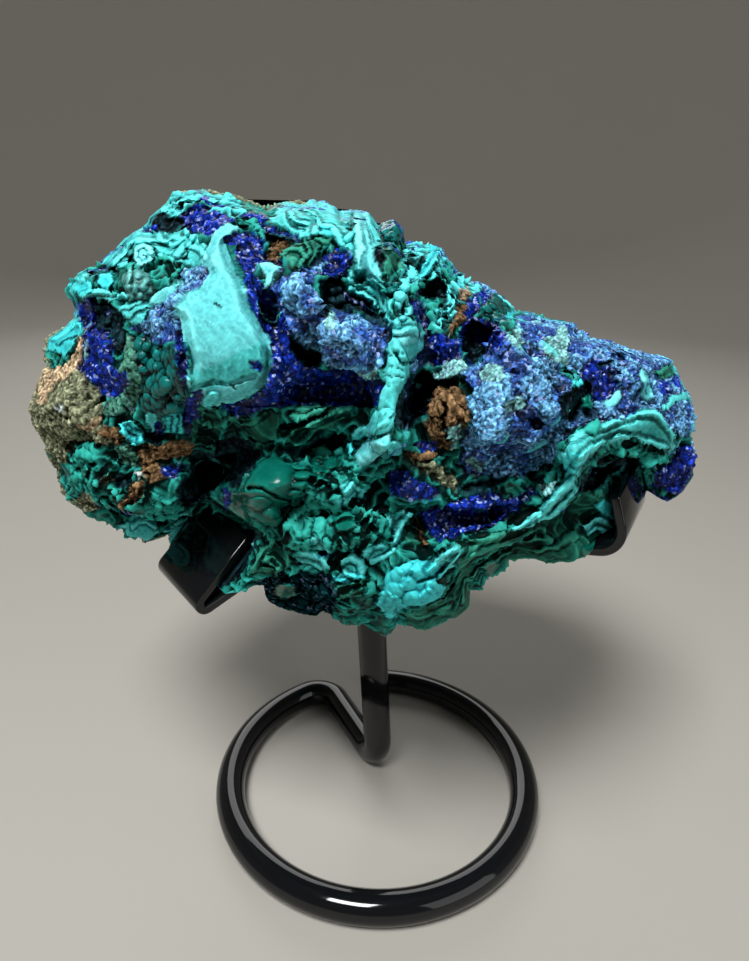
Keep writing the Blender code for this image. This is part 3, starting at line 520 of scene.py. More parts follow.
    "the left lobe": """
limonite 0.6 5 42,372 56,366 72,368 84,376 92,386 100,392 104,408 100,420 112,428 118,440 104,446 90,444
76,444 62,452 58,470 60,480 46,458 40,436 30,420 28,404 34,388;
sand 0.2 3 44,372 60,364 72,362 76,372 60,380 46,384 38,398 30,408 34,388;
sand 0.1 3 76,424 92,416 100,416 98,428 84,432;
chalk 0.3 2 48,408 60,406 65,412 54,415;
ochre 0.3 3 96,432 110,426 120,430 124,440 118,446 104,440;
ochre 0.2 4 136,446 160,444 186,440 198,446 190,453 170,458 152,462 164,470 165,480 150,484 142,476 138,460;
moss 0.2 3 116,446 130,448 140,456 136,468 120,464 112,454;
azurite 0.0 3 104,376 124,370 130,384 118,398 108,396 100,384;
moss 0.0 3 104,402 118,398 122,412 112,420 104,412;
cyan 0.8 3 118,424 130,419 142,434 144,444 136,449 126,440 120,432;
dark -2.0 2 125,426 130,428 137,437 131,439 126,433;
dark -2.0 3 144,430 162,428 168,438 156,444 144,440;
velvet 0.6 2 144,414 156,412 160,424 156,430 146,424;
cyan 0.4 2 164,416 186,412 183,434 167,434;
azurite 0.0 2 184,400 198,396 198,420 188,436 183,430;
azurite 0.0 2 158,420 165,430 160,437 155,429;
sheet 0.0 3 196,406 218,408 222,430 214,450 196,448 188,434 198,420;
velvet 1.0 3 202,396 214,390 222,398 214,408 202,406;
azurite 0.0 2 192,392 204,390 202,402 194,404;
leaf 0.3 3 64,464 76,448 96,446 114,450 120,462 116,474 100,484 84,490 70,488 60,482;
limonite 0.2 2 98,480 112,474 118,480 104,486 94,490;
leaf 0.2 3 58,488 68,484 88,488 96,496 108,520 104,526 96,520 84,510 66,502;
limonite 0.0 3 72,500 84,496 92,506 88,516 76,508;
leaf 0.0 3 98,492 116,484 124,490 146,486 168,486 170,500 160,526 144,516 122,514 104,512;
dark -2.0 3 116,474 132,472 134,482 124,492 116,486;
ochre 1.2 3 126,497 132,484 142,480 145,492 136,503 121,511 119,506;
chalk 0.2 2 134,474 140,472 144,476 140,479;
azurite 0.2 3 162,466 176,462 188,466 184,474 172,480 162,478;
velvet 0.4 3 116,528 128,518 144,514 152,520 158,536 140,542 120,537;
velvet 0.5 3 164,532 176,520 189,515 184,530 176,542 166,541;
dark -5.0 6 186,453 214,451 238,450 238,470 222,484 202,500 188,512 176,500 178,482 190,474;
lobe -1.0 4 206,478 224,466 238,466 240,480 226,488 208,492
""",
    "the lower middle": """
azurite 0.0 2 220,406 240,412 258,404 268,396 272,404 262,410 246,418 228,414;
sheet 0.8 3 228,415 246,419 266,411 280,412 282,430 276,442 262,448 246,434 232,426;
sheet 0.6 3 290,414 300,402 312,402 330,404 348,408 350,414 340,424 326,428 306,436 290,444 282,440 296,426
300,418;
dark -2.5 3 300,450 320,438 340,430 348,436 340,446 330,444 312,450 306,462 298,458;
dark -2.0 3 216,440 238,434 254,446 264,452 256,466 240,486 232,490 226,480 232,462 216,454;
velvet 1.0 3 350,434 364,424 374,412 384,406 396,412 388,422 376,434 362,440 352,440;
pale 1.6 4 355,454 363,443 378,439 390,432 393,446 381,455 371,463 362,467 356,461;
velvet 0.4 2 386,440 398,440 402,450 398,458 388,454;
cyan 1.0 2 346,444 352,442 354,452 350,459 346,454;
lobe 0.6 3 312,446 328,446 336,456 344,450 348,460 338,468 322,478 312,480 310,462;
lobe 0.8 4 228,494 244,486 256,466 272,452 284,462 300,464 311,470 308,486 298,498 286,506 276,508 282,520
270,526 254,520 240,528 230,520;
leaf 0.4 3 306,502 314,484 328,476 346,476 362,474 368,488 362,504 340,510 330,516 316,514;
velvet 0.5 3 340,486 352,480 362,490 364,498 350,500 340,510 334,498 344,494;
leaf 0.6 3 280,534 290,520 308,504 320,516 324,532 314,540 304,552 288,550;
lobe 0.8 3 331,520 344,513 357,514 358,524 348,531 336,533;
velvet 0.5 3 309,540 318,536 329,546 328,553 316,550;
velvet 0.6 3 294,556 306,551 320,556 330,566 322,571 306,567;
lobe 0.5 3 352,536 362,534 364,544 356,550 350,546;
velvet 0.8 3 340,560 352,552 360,560 364,576 356,584 342,574;
cyan 0.4 2 330,574 344,572 356,576 368,578 356,583 340,581;
sheet 0.5 3 330,582 350,583 368,580 362,597 344,601 332,592;
velvet 0.7 3 362,554 376,544 390,546 394,536 386,524 390,514 402,510 412,516 404,528 398,548 386,560 370,565;
leaf 0.2 3 354,520 370,512 384,512 388,526 380,538 366,536;
night -1.0 4 258,582 280,572 330,572 338,590 334,612 312,624 296,620 270,612 258,600;
lobe 0.5 3 274,586 286,582 296,588 294,598 284,600 274,595;
sheet 0.8 3 249,572 256,558 264,546 276,540 286,550 290,562 284,572 272,576 262,577;
dark -3.0 4 236,532 250,528 262,536 252,554 244,574 228,584 214,592 226,570;
azurite 0.2 2 222,488 230,486 230,500 226,512 222,508;
azurite -0.3 2 316,548 326,552 330,558 318,556
""",
}


def stroke_distance(pixels, line):
    """Distance in pixels to a broken line."""
    nearest = np.full(len(pixels), 1e9)
    for start, end in zip(line[:-1], line[1:]):
        along = end - start
        share = np.clip((pixels - start) @ along / (along @ along), 0.0, 1.0)
        away = pixels - start - share[:, None] * along
        nearest = np.minimum(nearest, np.hypot(away[:, 0], away[:, 1]))
    return nearest


def edge_distance(pixels, corners):
    """Distance in pixels to the edge of a patch, positive inside it."""
    inside = np.zeros(len(pixels), dtype=bool)
    for start, end in zip(corners, np.roll(corners, -1, axis=0)):
        along = end - start
        crosses = (start[1] > pixels[:, 1]) != (end[1] > pixels[:, 1])
        slope = along[0] / along[1] if along[1] else 0.0
        inside ^= crosses & (pixels[:, 0] < start[0] + (pixels[:, 1] - start[1]) * slope)
    nearest = stroke_distance(pixels, np.vstack([corners, corners[:1]]))
    return np.where(inside, nearest, -nearest)


def near(pixels, corners, reach):
    """Which of the pixels lie in the box of the corners, widened by reach."""
    low, high = corners.min(axis=0) - reach, corners.max(axis=0) + reach
    return np.nonzero(np.all((pixels > low) & (pixels < high), axis=1))[0]


def outline_reach(pixels):
    """Pixels' bearings and distances from the outline's middle, and the outline's distance there."""
    middle = np.array(OUTLINE_CENTRE_PX)
    outline = trail(OUTLINE_PX) - middle
    bearing = np.degrees(np.arctan2(-outline[:, 1], outline[:, 0])) % 360.0
    order = np.argsort(bearing)
    away = pixels - middle
    heading = np.degrees(np.arctan2(-away[:, 1], away[:, 0])) % 360.0
    limit = np.interp(heading, bearing[order], np.hypot(outline[:, 0], outline[:, 1])[order], period=360.0)
    return heading, np.hypot(away[:, 0], away[:, 1]), limit


def paint_minerals(points, pixels, in_front):
    """Share of each mineral at each point, the patches' rise, and the painted highlight and shade along their
    edges.
    """
    share = np.zeros((len(points), len(KINDS)))
    share[:, KINDS.index("leaf")] = 1.0
    rise, edge = np.zeros(len(points)), np.zeros(len(points))
    middle = np.array(OUTLINE_CENTRE_PX)
    _, distance, limit = outline_reach(pixels)
    inward = np.minimum(1.0, (limit - 7.0) / distance)
    wander = np.stack([layered(points, 2.4, 40), layered(points, 2.4, 50)], axis=1) * 5.0
    spot = middle + (pixels - middle) * inward[:, None]
    for kind, height, soft, text in entries(3, *PATCHES.values()):
        corners, height = trail(text), float(height)
        held = near(spot, corners, 8.0)
        inside = edge_distance(spot[held] + wander[held] * (0.1 if kind == "pale" else 1.0), corners)
        cover = smooth_step(inside / 1.2 + 0.5)
        share[held] *= 1.0 - cover[:, None]
        share[held, KINDS.index(kind)] += cover
        rise[held] += height * smooth_step(inside / float(soft))
        # A painted highlight just inside each patch's edge and painted shade along the edge itself.
        highlight = MINERALS[kind][5]
        line = highlight * dome((inside - 2.0) / 1.8) - 0.8 * dome((inside + 0.6) / 1.5)
        edge[held] = edge[held] * (1.0 - cover) + line * min(2.0 * abs(height), 1.0)
    behind = np.nonzero(in_front < 1.0)[0]
    there = points[behind]
    waves = [lean + 0.9 * layered(there, 20.0, 60 + 7 * k, 4) for k, lean in enumerate(leaning(there))]
    score = np.stack(waves, axis=1)
    score = np.exp((score - score.max(axis=1)[:, None]) * 40.0)
    score /= score.sum(axis=1)[:, None]
    shown = in_front[behind][:, None]
    share[behind] = share[behind] * shown + score * (1.0 - shown)
    azurite, granular = KINDS.index("azurite"), KINDS.index("granular")
    mix = 0.75 * smooth_step((layered(points, 3.5, 33, 4, 0.6) - 0.02) * 4.0 + 0.5) * share[:, granular]
    share[:, azurite] += mix
    share[:, granular] -= mix
    return share, rise, edge * in_front


def leaning(points):
    """How readily each mineral shows on the sides and the back."""
    high = points[:, 2] - 112.0
    lean = {
        "pale": -0.28 - 0.003 * points[:, 0],
        "velvet": -0.05 + high * 0.003,
        "cyan": -0.35,
        "crust": -0.12 + high * 0.005,
        "sheet": -0.1 - high * 0.004,
        "leaf": 0.05 - high * 0.006,
        "lobe": -0.15 - high * 0.006,
        "bead": -0.1 - high * 0.004,
        "night": -1.0,
        "beadlight": -0.6,
        "moss": -0.25,
        "azurite": 0.02 + high * 0.003,
        "granular": -0.05 + points[:, 0] * 0.006,
        "frost": -0.35 + points[:, 0] * 0.003,
        "limonite": -0.2 - points[:, 0] * 0.008,
        "sand": -0.5 - points[:, 0] * 0.003,
        "ochre": -0.32,
        "chalk": -1.0,
        "dark": -0.3 - high * 0.003,
    }
    return [lean[kind] for kind in KINDS]


# The stone's relief

# Folds and creases, by region. Each is its painted lightness, highlight when above nought and shade when
# below, its half width in pixels, its rise in millimetres and its line.
FOLDS = {
    "upper left": """
1 3 1.0 124,241 136,238 150,236 164,239 180,237; 1 3 1.0 152,230 162,239 172,245 184,240 187,231;
1 2.5 0.9 104,262 112,254 120,246 128,241; 1 2.5 0.9 186,229 192,238 186,246 178,256;
1 2.5 0.9 190,246 200,250 206,258;
1 2.5 1.0 131,246 140,243 149,247 152,255 148,262 139,264 132,258 130,250; -1 1.5 -1.6 142,254 146,257;
1 2.5 0.8 118,262 126,262 128,272 127,286; 1 2.5 0.8 150,262 160,257 170,260 176,270 177,282;
-1 2 -0.8 156,266 164,264 170,272 170,282; 1 2.5 0.8 72,272 82,267 90,269;
1 2.5 0.8 78,296 92,291 108,292 124,295; -1 2 -0.8 92,303 110,303 126,300;
-1 1.6 -0.5 112,316 128,309 144,303; -1 1.6 -0.5 122,322 136,314 148,308; 1 2.5 0.6 46,337 60,326 74,318;
-1 2 -0.7 48,344 60,338 70,334; 1 2.5 0.6 152,207 162,205 174,203; 1 3 0.8 170,198 180,194 196,193 210,196;
-1 2 -0.8 172,204 184,201 200,201; -0.35 4 -0.5 188,392 200,386 214,381 226,384 240,380 254,376;
-0.7 1.3 -0.5 215,304 220,309; -1 1.6 -0.8 231,383 235,389; 1 2.5 0.8 240,222 252,223 262,230 262,240
""",
    "shell-like folds of the upper ridge": """
-1 2 -0.9 283,205 285,214 292,224 303,231; -1 2 -0.8 298,202 308,207 315,216 317,226;
1 2.5 0.8 287,204 290,212 298,220 308,224; 1 2.5 0.8 303,203 312,210 319,222 315,232;
1 2.5 0.8 322,226 332,226 338,236 341,244; 1 2.5 0.8 345,217 351,222 352,232 346,240;
1 3.5 1.2 357,212 357,234 360,250 360,270; 1 3 1.0 370,214 374,226 378,238;
-1 2 -0.8 366,222 370,236 371,248; 1 2.5 0.9 344,279 356,283 370,281 382,288 390,306 397,326;
-1 2 -0.8 352,290 366,290 376,300 384,316; 1 2.5 0.7 281,254 290,248 300,249 305,258 299,268;
1 2 0.6 305,240 309,251 303,262; 1 2 0.6 316,238 327,243 322,252; 1 2.5 0.8 386,248 396,244 404,252;
1 2.5 0.8 408,246 406,258 400,268 402,280; 1 2.5 0.8 440,250 434,262 424,276 412,290;
1 2.5 0.8 424,248 418,262 410,274 404,288; -1 2 -0.8 414,250 410,264 403,276;
1 2.5 0.8 412,296 424,286 438,277 446,280; 1 2.5 0.8 448,290 458,296 452,306 444,312;
-1 2.5 -1.0 440,304 446,312 444,326; 1 2.5 0.8 396,297 406,302 410,312 402,318;
1 3 0.8 394,332 408,331 424,333; -1 3 -1.2 412,362 402,362 396,352
""",
    "the ribbed column and its foot": """
-0.4 1.3 -0.2 352,436 362,428; -0.4 1.3 -0.2 358,438 368,426; -0.4 1.3 -0.2 364,438 374,422;
-0.4 1.3 -0.2 370,436 380,416; -0.4 1.3 -0.2 376,432 386,414; -0.4 1.3 -0.2 380,428 392,416;
-0.5 1.4 -0.35 398,350 404,354; -0.5 1.4 -0.35 398,358 405,362; -0.5 1.4 -0.35 396,366 404,370;
-0.5 1.4 -0.35 394,374 402,378; -0.5 1.4 -0.35 384,352 392,356; -0.5 1.4 -0.35 384,362 391,366;
-0.5 1.4 -0.35 384,372 391,376; -0.5 1.4 -0.35 384,382 390,386
""",
    "the curled shelf at the right": """
1 3.5 1.3 572,438 586,431 600,426 616,420 632,415 646,411 660,415 672,426 680,438;
1 3.5 1.3 576,464 588,451 604,443 622,437 638,438 652,443 668,448; -1 2 -0.8 606,438 616,432 630,432;
1 2.5 0.7 610,462 622,452 636,450; 1 2.5 0.7 560,474 566,462 564,454;
1 3.5 1.1 512,528 526,520 540,514 552,502 562,490 572,482;
-1 2 -0.8 522,526 538,519 552,510 562,500 572,492; 1 3 0.9 540,518 554,512 564,502 572,496;
1 3.5 1.0 428,570 440,560 450,551 458,548; 1 2.5 0.8 440,576 452,566 460,556 464,548;
-1 2.5 -1.2 418,582 430,578 440,572 448,564; 1 3 0.8 464,604 468,590 478,576 494,566 516,558;
1 3 0.7 456,566 472,556 492,548 516,544 544,536; -1 3 -0.9 452,584 460,572 476,562 500,554;
1 2.5 0.6 470,541 490,538 512,531 530,524; -1 2.5 -1.0 480,546 500,541 520,534 544,524;
1 2.5 0.5 534,552 552,542 566,530 574,518; -1 2.5 -0.8 428,606 444,598 454,584;
1 2.5 0.6 400,614 416,620 436,618 452,608; 1 3 0.9 576,522 588,515 600,518 604,526;
1 2.5 0.7 596,530 602,540 596,550; 1 2.5 0.6 500,486 510,480 520,486 524,494
""",
    "crumpled green sheets of the lower middle": """
1 2.5 0.9 283,440 298,430 316,423 334,416 350,410; 1 2.5 0.8 292,415 304,418 318,411 332,404;
-1 2.5 -1.2 284,428 300,424 318,416; 1 2 0.6 230,418 240,426 252,422 264,414;
1 2 0.6 240,432 252,442 262,446; 1 2 0.6 276,442 264,446; -1 2.5 -1.4 248,488 262,488 276,495 290,502;
-1 2 -1.5 438,398 446,410 443,424 450,440; -1 2 -1.2 452,390 455,404 466,412;
-1 1.5 -1.0 430,416 440,420 446,416; 1 3 1.0 309,500 312,488 320,478 328,479 334,487;
1 3 1.0 324,493 332,490 337,500 336,509; 1 2.5 0.9 344,492 354,482 362,492 358,500;
1 2.5 0.9 346,472 354,473 358,480; 1 2.5 0.9 361,482 366,488 364,496;
1 3 1.0 282,540 284,530 292,518 304,508 312,503; 1 2.5 0.9 312,504 316,514 310,524 306,534 306,546;
1 2.5 0.9 316,510 322,520 320,532 314,540; 1 3 1.0 310,540 320,537 328,546 328,553;
1 3 1.0 296,554 308,552 320,557 328,567; -1 2 -0.9 300,562 312,564 322,570;
1 2.5 0.8 332,522 344,514 356,515; 1 2.5 0.8 334,546 340,538 346,546 342,554;
1 2.5 0.8 352,548 354,538 362,540; 1 3 1.0 342,562 350,556 360,562 364,576;
1 2.5 0.9 332,576 344,573 356,577 366,579; 1 2.5 0.8 333,596 338,588 350,584 362,582;
1 2.5 0.8 340,599 352,594 362,590; 1 2.5 0.9 360,520 366,514 374,512 372,522 366,530;
1 2.5 0.9 376,514 384,514 390,524 386,534; -1 2 -0.9 372,526 378,532 376,542;
1 3 1.0 364,554 372,546 384,546 396,540 400,526 410,516; -1 2 -0.9 372,558 382,554 392,550;
1 2.5 0.8 250,574 257,560 264,549 274,542; 1 2.5 0.8 262,562 272,558 282,566 276,574;
-1 2 -0.9 262,566 268,566 274,570; 1 2.5 0.7 402,528 410,523 420,530 426,544
""",
    "the left lobe": """
-1 4 -1.6 102,400 92,408 80,415 66,417; -1 3 -1.2 62,450 70,442 84,443 100,447;
-1 2 -1.2 66,478 74,469 84,462 92,456; -1 2 -1.4 74,484 82,479 88,472 92,464;
1 2.5 0.8 70,482 80,475 86,468; 1 3 0.8 96,484 106,474 116,466 118,456; 1 2.5 0.7 66,462 76,454 88,456;
1 3 0.9 100,504 110,512 124,510 140,503 146,490 145,478; 1 2.5 0.6 110,498 120,490 124,484;
1 2.5 0.8 120,424 130,420 142,433 143,445; 1 2.5 0.8 120,428 124,438 134,447; 1 2 0.8 169,416 168,432;
1 2 0.8 183,414 181,432; 1 2 0.6 176,416 175,430; 1 1.8 0.6 202,424 208,422 210,427 205,431 200,428;
1 1.8 0.6 197,437 206,435 214,440 208,447 198,444; 1 1.8 0.6 196,408 203,412 203,420;
1 1.8 0.6 208,410 216,412 220,418; 1 2.5 0.7 122,530 132,523 144,522 152,528;
1 2.5 0.6 150,492 158,498 158,512 162,522; 1 2 0.5 176,524 184,520 188,517
""",
}

# Lumps and hollows. Each is a middle, a half width and a half height in pixels, and a rise in millimetres.
SPOTS = """
133 288 6 6 1.5; 143 287 4.5 4.5 1.2; 127 278 5 5 1.3; 138 275 5 4 1.2; 147 281 4 4 1.0; 129 296 5 4 1.0;
139 295 4 4 1.0; 103 318 9 8 1.6; 118 340 7 12 1.5; 96 306 5 4 1.0; 142 345 9 7 1.6; 138 355 8 5 1.2;
148 366 10 8 1.6; 161 356 10 5 1.2; 160 386 14 12 2.4; 178 350 6 8 1.4; 176 367 6 6 1.2; 186 382 5 7 1.2;
172 374 5 4 1.0; 152 402 10 8 1.4; 173 408 8 8 1.6; 178 397 4 3 1.0; 162 402 4 4 0.8; 146 398 5 4 0.8;
180 420 5 5 1.0; 340 300 12 5 2.6; 350 292 7 6 2.6; 335 290 6 4 1.8; 366 305 11 9 2.6; 348 308 6 4 1.8;
378 316 10 6 1.8; 330 308 5 4 1.6; 360 316 6 4 1.6; 342 282 5 3 1.6; 391 228 9 8 1.2; 384 236 6 6 1.0;
398 236 6 7 1.0; 388 282 5 4 1.2; 397 284 5 4 1.2; 403 290 4 4 1.0; 384 290 4 4 0.8; 392 291 4 3 0.8;
497 303 6 5 1.2; 488 309 6 5 1.2; 505 309 6 5 1.2; 497 317 6 5 1.2; 508 318 5 4 1.0; 432 322 5 8 1.2;
434 308 6 6 0.8; 588 403 8 8 1.6; 597 404 6 6 1.4; 578 384 5 6 1.0; 667 370 6 5 1.2; 664 454 8 6 1.2;
648 462 8 6 1.2; 630 456 8 5 1.0; 652 472 6 6 1.0; 588 478 8 5 1.0; 600 490 7 6 1.2; 302 466 11 5 2.4;
304 476 11 5 2.6; 303 486 11 5 2.4; 297 495 9 5 2.0; 258 503 14 6 1.8; 272 512 9 6 1.4; 242 516 9 10 1.0;
350 451 5 9 1.6; 323 452 9 7 1.8; 330 462 8 7 1.8; 316 470 7 8 1.4; 340 455 6 6 1.4; 318 460 6 5 1.2;
343 463 4 4 0.9; 353 472 5 4 1.0; 357 478 5 4 1.2; 364 486 4 6 1.0; 404 568 9 8 1.4; 420 570 10 9 1.6;
408 583 9 8 1.4; 395 590 9 8 1.4; 412 598 10 8 1.5; 428 596 9 8 1.5; 394 604 9 9 1.4; 386 598 8 8 1.2;
434 586 9 8 1.6; 398 575 7 7 1.2; 392 615 7 6 1.0; 404 610 7 6 1.0; 286 592 13 11 1.6; 322 598 6 6 1.2;
302 604 8 6 1.0; 312 590 6 5 0.8; 340 616 10 8 1.0; 362 618 10 8 1.0; 384 622 10 9 1.2; 372 606 8 8 0.8;
444 608 16 12 1.0; 512 488 10 6 1.0; 376 452 16 10 1.4; 244 578 6 6 0.6; 207 476 26 24 -2.0;
482 343 16 16 -1.5; 418 396 20 22 -1.5; 545 400 30 22 1.2; 500 430 26 22 1.4; 590 372 14 12 1.0;
630 376 16 12 1.0; 530 350 22 16 0.8; 540 440 20 16 1.2; 498 400 16 14 0.8; 514 374 6 5 -1.6;
507 420 7 6 -1.2; 480 402 6 5 -1.0; 537 424 6 5 -1.2; 560 386 7 5 -1.0; 620 356 8 5 -1.4; 616 374 7 5 -1.6;
652 388 6 6 -1.0; 470 506 30 12 1.2; 412 484 16 8 0.8
"""


def placed_relief(points, pixels):
    """Height of the listed folds, lumps and hollows, and the painted highlight and shade of the folds."""
    height = np.zeros(len(points))
    painted_fold_shading = np.zeros(len(points))
    wander = np.stack([layered(points, 2.4, 80), layered(points, 2.4, 90)], axis=1) * 3.0
    spot = pixels + wander
    for light, half, rise, text in entries(3, *FOLDS.values()):
        light, half, rise = float(light), float(half), float(rise)
        line = trail(text)
        held = near(spot, line, 2.4 * half)
        away = stroke_distance(spot[held], line) / half
        bump, beside = dome(away), dome((away - 1.7) / 0.7) * (light > 0)
        height[held] += 1.4 * rise * bump - 0.5 * rise * beside
        # Painted highlight along a light fold with painted shade beside it, and painted shade along a dark
        # crease.
        painted_fold_shading[held] += light * bump - 0.7 * light * beside
    spot = pixels + 0.4 * wander
    for entry in entries(5, SPOTS):
        column, row, wide, tall, rise = (float(number) for number in entry[:5])
        away = np.hypot((spot[:, 0] - column) / wide, (spot[:, 1] - row) / tall)
        height += rise * np.sqrt(np.clip(1.0 - away ** 2, 0.0, 1.0))
    return height, np.clip(painted_fold_shading, -1.0, 1.0)


def relief_kinds(points):
    """Small relief of every sort: height in millimetres, and the painted shade of its low parts and painted
    highlight on its crests, from nought to one.
    """
    flat = np.zeros(len(points))
    kinds = {}
    waves = layered(points, 8.0, 3)
    wrinkles = ridged(points * np.array((1.0, 1.0, 0.6)) + 0.8 * points[:, [2, 0, 1]], 1.1, 5)
    kinds["skin"] = (0.45 * waves + 0.1 * wrinkles, 0.22 * (1.0 - wrinkles), flat)
    kinds["smooth"] = (0.35 * waves, flat, flat)
    bent = points + 1.2 * np.stack([noise(points, 4.0, k) for k in (22, 23, 24)], axis=1)
    worms = ridged(bent, 3.6, 11) * 0.6 + ridged(bent, 1.7, 17) * 0.4
    tall = (2.6 * worms - 1.3) * (0.75 + 0.5 * waves) + 0.6 * waves
    kinds["worms"] = (tall, 1.0 - smooth_step(worms * 1.8), smooth_step((worms - 0.6) * 3.3))
    broad, thin = ridged(bent, 5.5, 21), ridged(bent, 2.4, 27)
    walls = 0.75 * broad ** 3 + 0.25 * thin ** 2
    low = 0.55 * (1.0 - smooth_step(walls * 3.0))
    kinds["sheets"] = (1.0 * walls + 0.6 * waves - 0.35, low, smooth_step((broad - 0.84) * 8.0) * 0.8)
    walls = 0.6 * broad ** 3 + 0.4 * thin ** 2.5
    low = 0.75 * (1.0 - smooth_step(walls * 3.0))
    kinds["leaves"] = (2.2 * walls + 0.4 * waves - 0.6, low, smooth_step((walls - 0.5) * 5.0))
    first, second, _ = cells(points, 2.3, 31)
    ball = np.sqrt(np.clip(1.0 - 1.5 * first ** 2, 0.0, 1.0))
    kinds["beads"] = (1.5 * ball - 1.0, 1.0 - smooth_step((second - first) * 3.0), flat)
    block = np.floor(points @ TURN / SPECK_SIZE)
    jitter = lattice(block, 91) - 0.5
    first, second, _ = cells(points, 1.2, 35)
    ball = np.sqrt(np.clip(1.0 - 1.3 * first ** 2, 0.0, 1.0))
    grains = 0.6 * ball + 0.9 * layered(points, 4.0, 37) - 0.4 + 0.15 * jitter
    kinds["grains"] = (grains, 1.0 - smooth_step((second - first) * 3.0), 0.4 * smooth_step(ball * 3.0 - 1.9))
    first, second, owner = cells(points, 1.5, 41)
    tilt = np.stack([lattice(owner, k) for k in (51, 52, 53)], axis=1) - 0.5
    face = np.sum((points @ TURN / 1.5 - owner - 0.5) * tilt, axis=1) * 2.0
    lumps = layered(points, 5.0, 43, 4, 0.6)
    crystals = 0.6 * face + 1.5 * lumps - 0.4 + 0.25 * jitter
    low = np.clip(0.5 - 0.5 * smooth_step((second - first) * 4.0) - 1.2 * lumps, 0, 1)
    kinds["crystals"] = (crystals, low, flat)
    rough = layered(points, 6.0, 47, 5, 0.66)
    top = np.clip(2.0 * rough - 0.2, 0.0, 0.6)
    kinds["rubble"] = (2.9 * rough + 0.45 * jitter, np.clip(-2.8 * rough, 0.0, 1.0), top)
    rough = layered(points, 5.0, 55, 5, 0.7)
    pits = smooth_step((0.34 - cells(points, 2.2, 57)[0]) * 4.0)
    top = np.clip(1.5 * rough, 0.0, 0.5)
    kinds["earth"] = (2.7 * rough - 0.6 * pits + 0.3 * jitter, 0.7 * pits - 1.8 * rough, top)
    return kinds


def mineral_relief(points, share):
    """Small relief, the painted shade of its low parts and the painted highlight on its crests, mixed by the
    minerals' shares.
    """
    height, depth, crest_highlight = np.zeros(len(points)), np.zeros(len(points)), np.zeros(len(points))
    kinds = relief_kinds(points)
    for k, kind in enumerate(KINDS):
        small, low, top = kinds[MINERALS[kind][0]]
        height += share[:, k] * small
        depth += share[:, k] * np.clip(low, 0.0, 1.0)
        crest_highlight += share[:, k] * top
    return height, depth, crest_highlight


def even_shield(points, pixels, facing):
    """Give the velvet shield one even, gently domed surface."""
    shield = trail(SHIELD_PX)
    hold = smooth_step(edge_distance(pixels, shield) / SHIELD_EDGE_PX + 0.4)
    held = np.nonzero((hold > 0.0) & (facing > 0.0))[0]
    away = points[held] - EYE
    depth = np.linalg.norm(away, axis=1)
    across, down = ((pixels[held] - shield.mean(axis=0)) / SHIELD_SPAN_PX).T
    terms = np.stack([np.ones(len(held)), across, down, down ** 2, 0.25 * down ** 3], axis=1)
    even = terms @ np.linalg.lstsq(terms, depth, rcond=None)[0]
    points = points.copy()
    points[held] = EYE + away * (1.0 + hold[held] * (even / depth - 1.0))[:, None]
    return points


def fit_outline(points):
    """Bring the stone's edge in the front view onto the drawn outline."""
    middle = np.array(OUTLINE_CENTRE_PX)
    pixels = view_pixels(points)
    heading, distance, limit = outline_reach(pixels)
    width = 360.0 / OUTLINE_SLOTS
    edge = np.zeros(OUTLINE_SLOTS)
    np.maximum.at(edge, (heading / width).astype(int), distance)
    edge = np.interp(heading, (np.arange(OUTLINE_SLOTS) + 0.5) * width, edge, period=360.0)
    hold = smooth_step((distance / edge - 0.82) / 0.16) * (1.0 - dome((heading - CLAW_BEARING_DEG) / 8.0))
    share = 1.0 + np.clip(limit / edge - 1.0, *OUTLINE_CHANGE) * hold
    return move_in_view(points, middle + (pixels - middle) * share[:, None])


def rounded_corner(before, corner, after, radius, steps):
    """Points round a corner on an arc of the given radius."""
    into = (before - corner) / np.linalg.norm(before - corner)
    out = (after - corner) / np.linalg.norm(after - corner)
    half = 0.5 * math.acos(float(np.clip(into @ out, -1.0, 1.0)))
    middle = corner + (into + out) / np.linalg.norm(into + out) * radius / math.sin(half)
    start = corner + into * radius / math.tan(half) - middle
    turns = [(math.pi - 2.0 * half) * k / steps for k in range(steps + 1)]
    return [middle + start * math.cos(turn) - into * math.sin(turn) * radius for turn in turns]


def claw_line(corners, radii):
    """A strap's outer line: reach and height, its corners rounded."""
    corners = [np.array(corner, dtype=float) for corner in corners]
    line = [corners[0]]
    for before, corner, after, radius in zip(corners[:-2], corners[1:-1], corners[2:], radii):
        line += rounded_corner(before, corner, after, radius, STRAP_BEND_STEPS)
    return np.array(line + [corners[-1]])


def claw_ways(direction):
    """Level directions along a claw and to its left."""
    angle = math.radians(direction)
    return np.array((math.cos(angle), math.sin(angle))), np.array((-math.sin(angle), math.cos(angle)))


def beside_claw(points, direction):
    """How far out along a claw each point lies, how far to its left, and its height over the claw's slope."""
    along, left = claw_ways(direction)
    away = points[:, :2] - HUB
    out = away[:, 0] * along[0] + away[:, 1] * along[1]
    aside = away[:, 0] * left[0] + away[:, 1] * left[1]
    return out, aside, points[:, 2] - CLAW_SLOPE * away[:, 1]


def strap_inner(line, thickness):
    """The strap's inner line, beside its outer one."""
    way = np.gradient(line, axis=0)
    way[0], way[-1] = line[1] - line[0], line[-1] - line[-2]
    way = unit_rows(way)
    return line + thickness * np.stack([-way[:, 1], way[:, 0]], axis=1)


def pull_lobe(points):
    """Draw the hanging lobe at the right down to its full length."""
    pixels = view_pixels(points)
    middle, half, fall = LOBE_PX
    weight = dome(np.hypot(*((pixels - middle) / half).T))
    weight *= smooth_step((pixels[:, 0] - middle[0] + half[0]) / 14.0)
    return move_in_view(points, pixels + weight[:, None] * np.array((0.0, fall)))


def trim_lobe(points, left):
    """Draw in what hangs below the drawn foot of the right lobe."""
    pixels = view_pixels(points)
    foot = trail(LOBE_FOOT_PX)
    below = pixels[:, 1] - np.interp(pixels[:, 0], foot[:, 0], foot[:, 1])
    weight = smooth_step((pixels[:, 0] - left) / 6.0) * (below > 0.0)
    pixels[:, 1] -= 0.9 * below * weight
    return move_in_view(points, pixels)


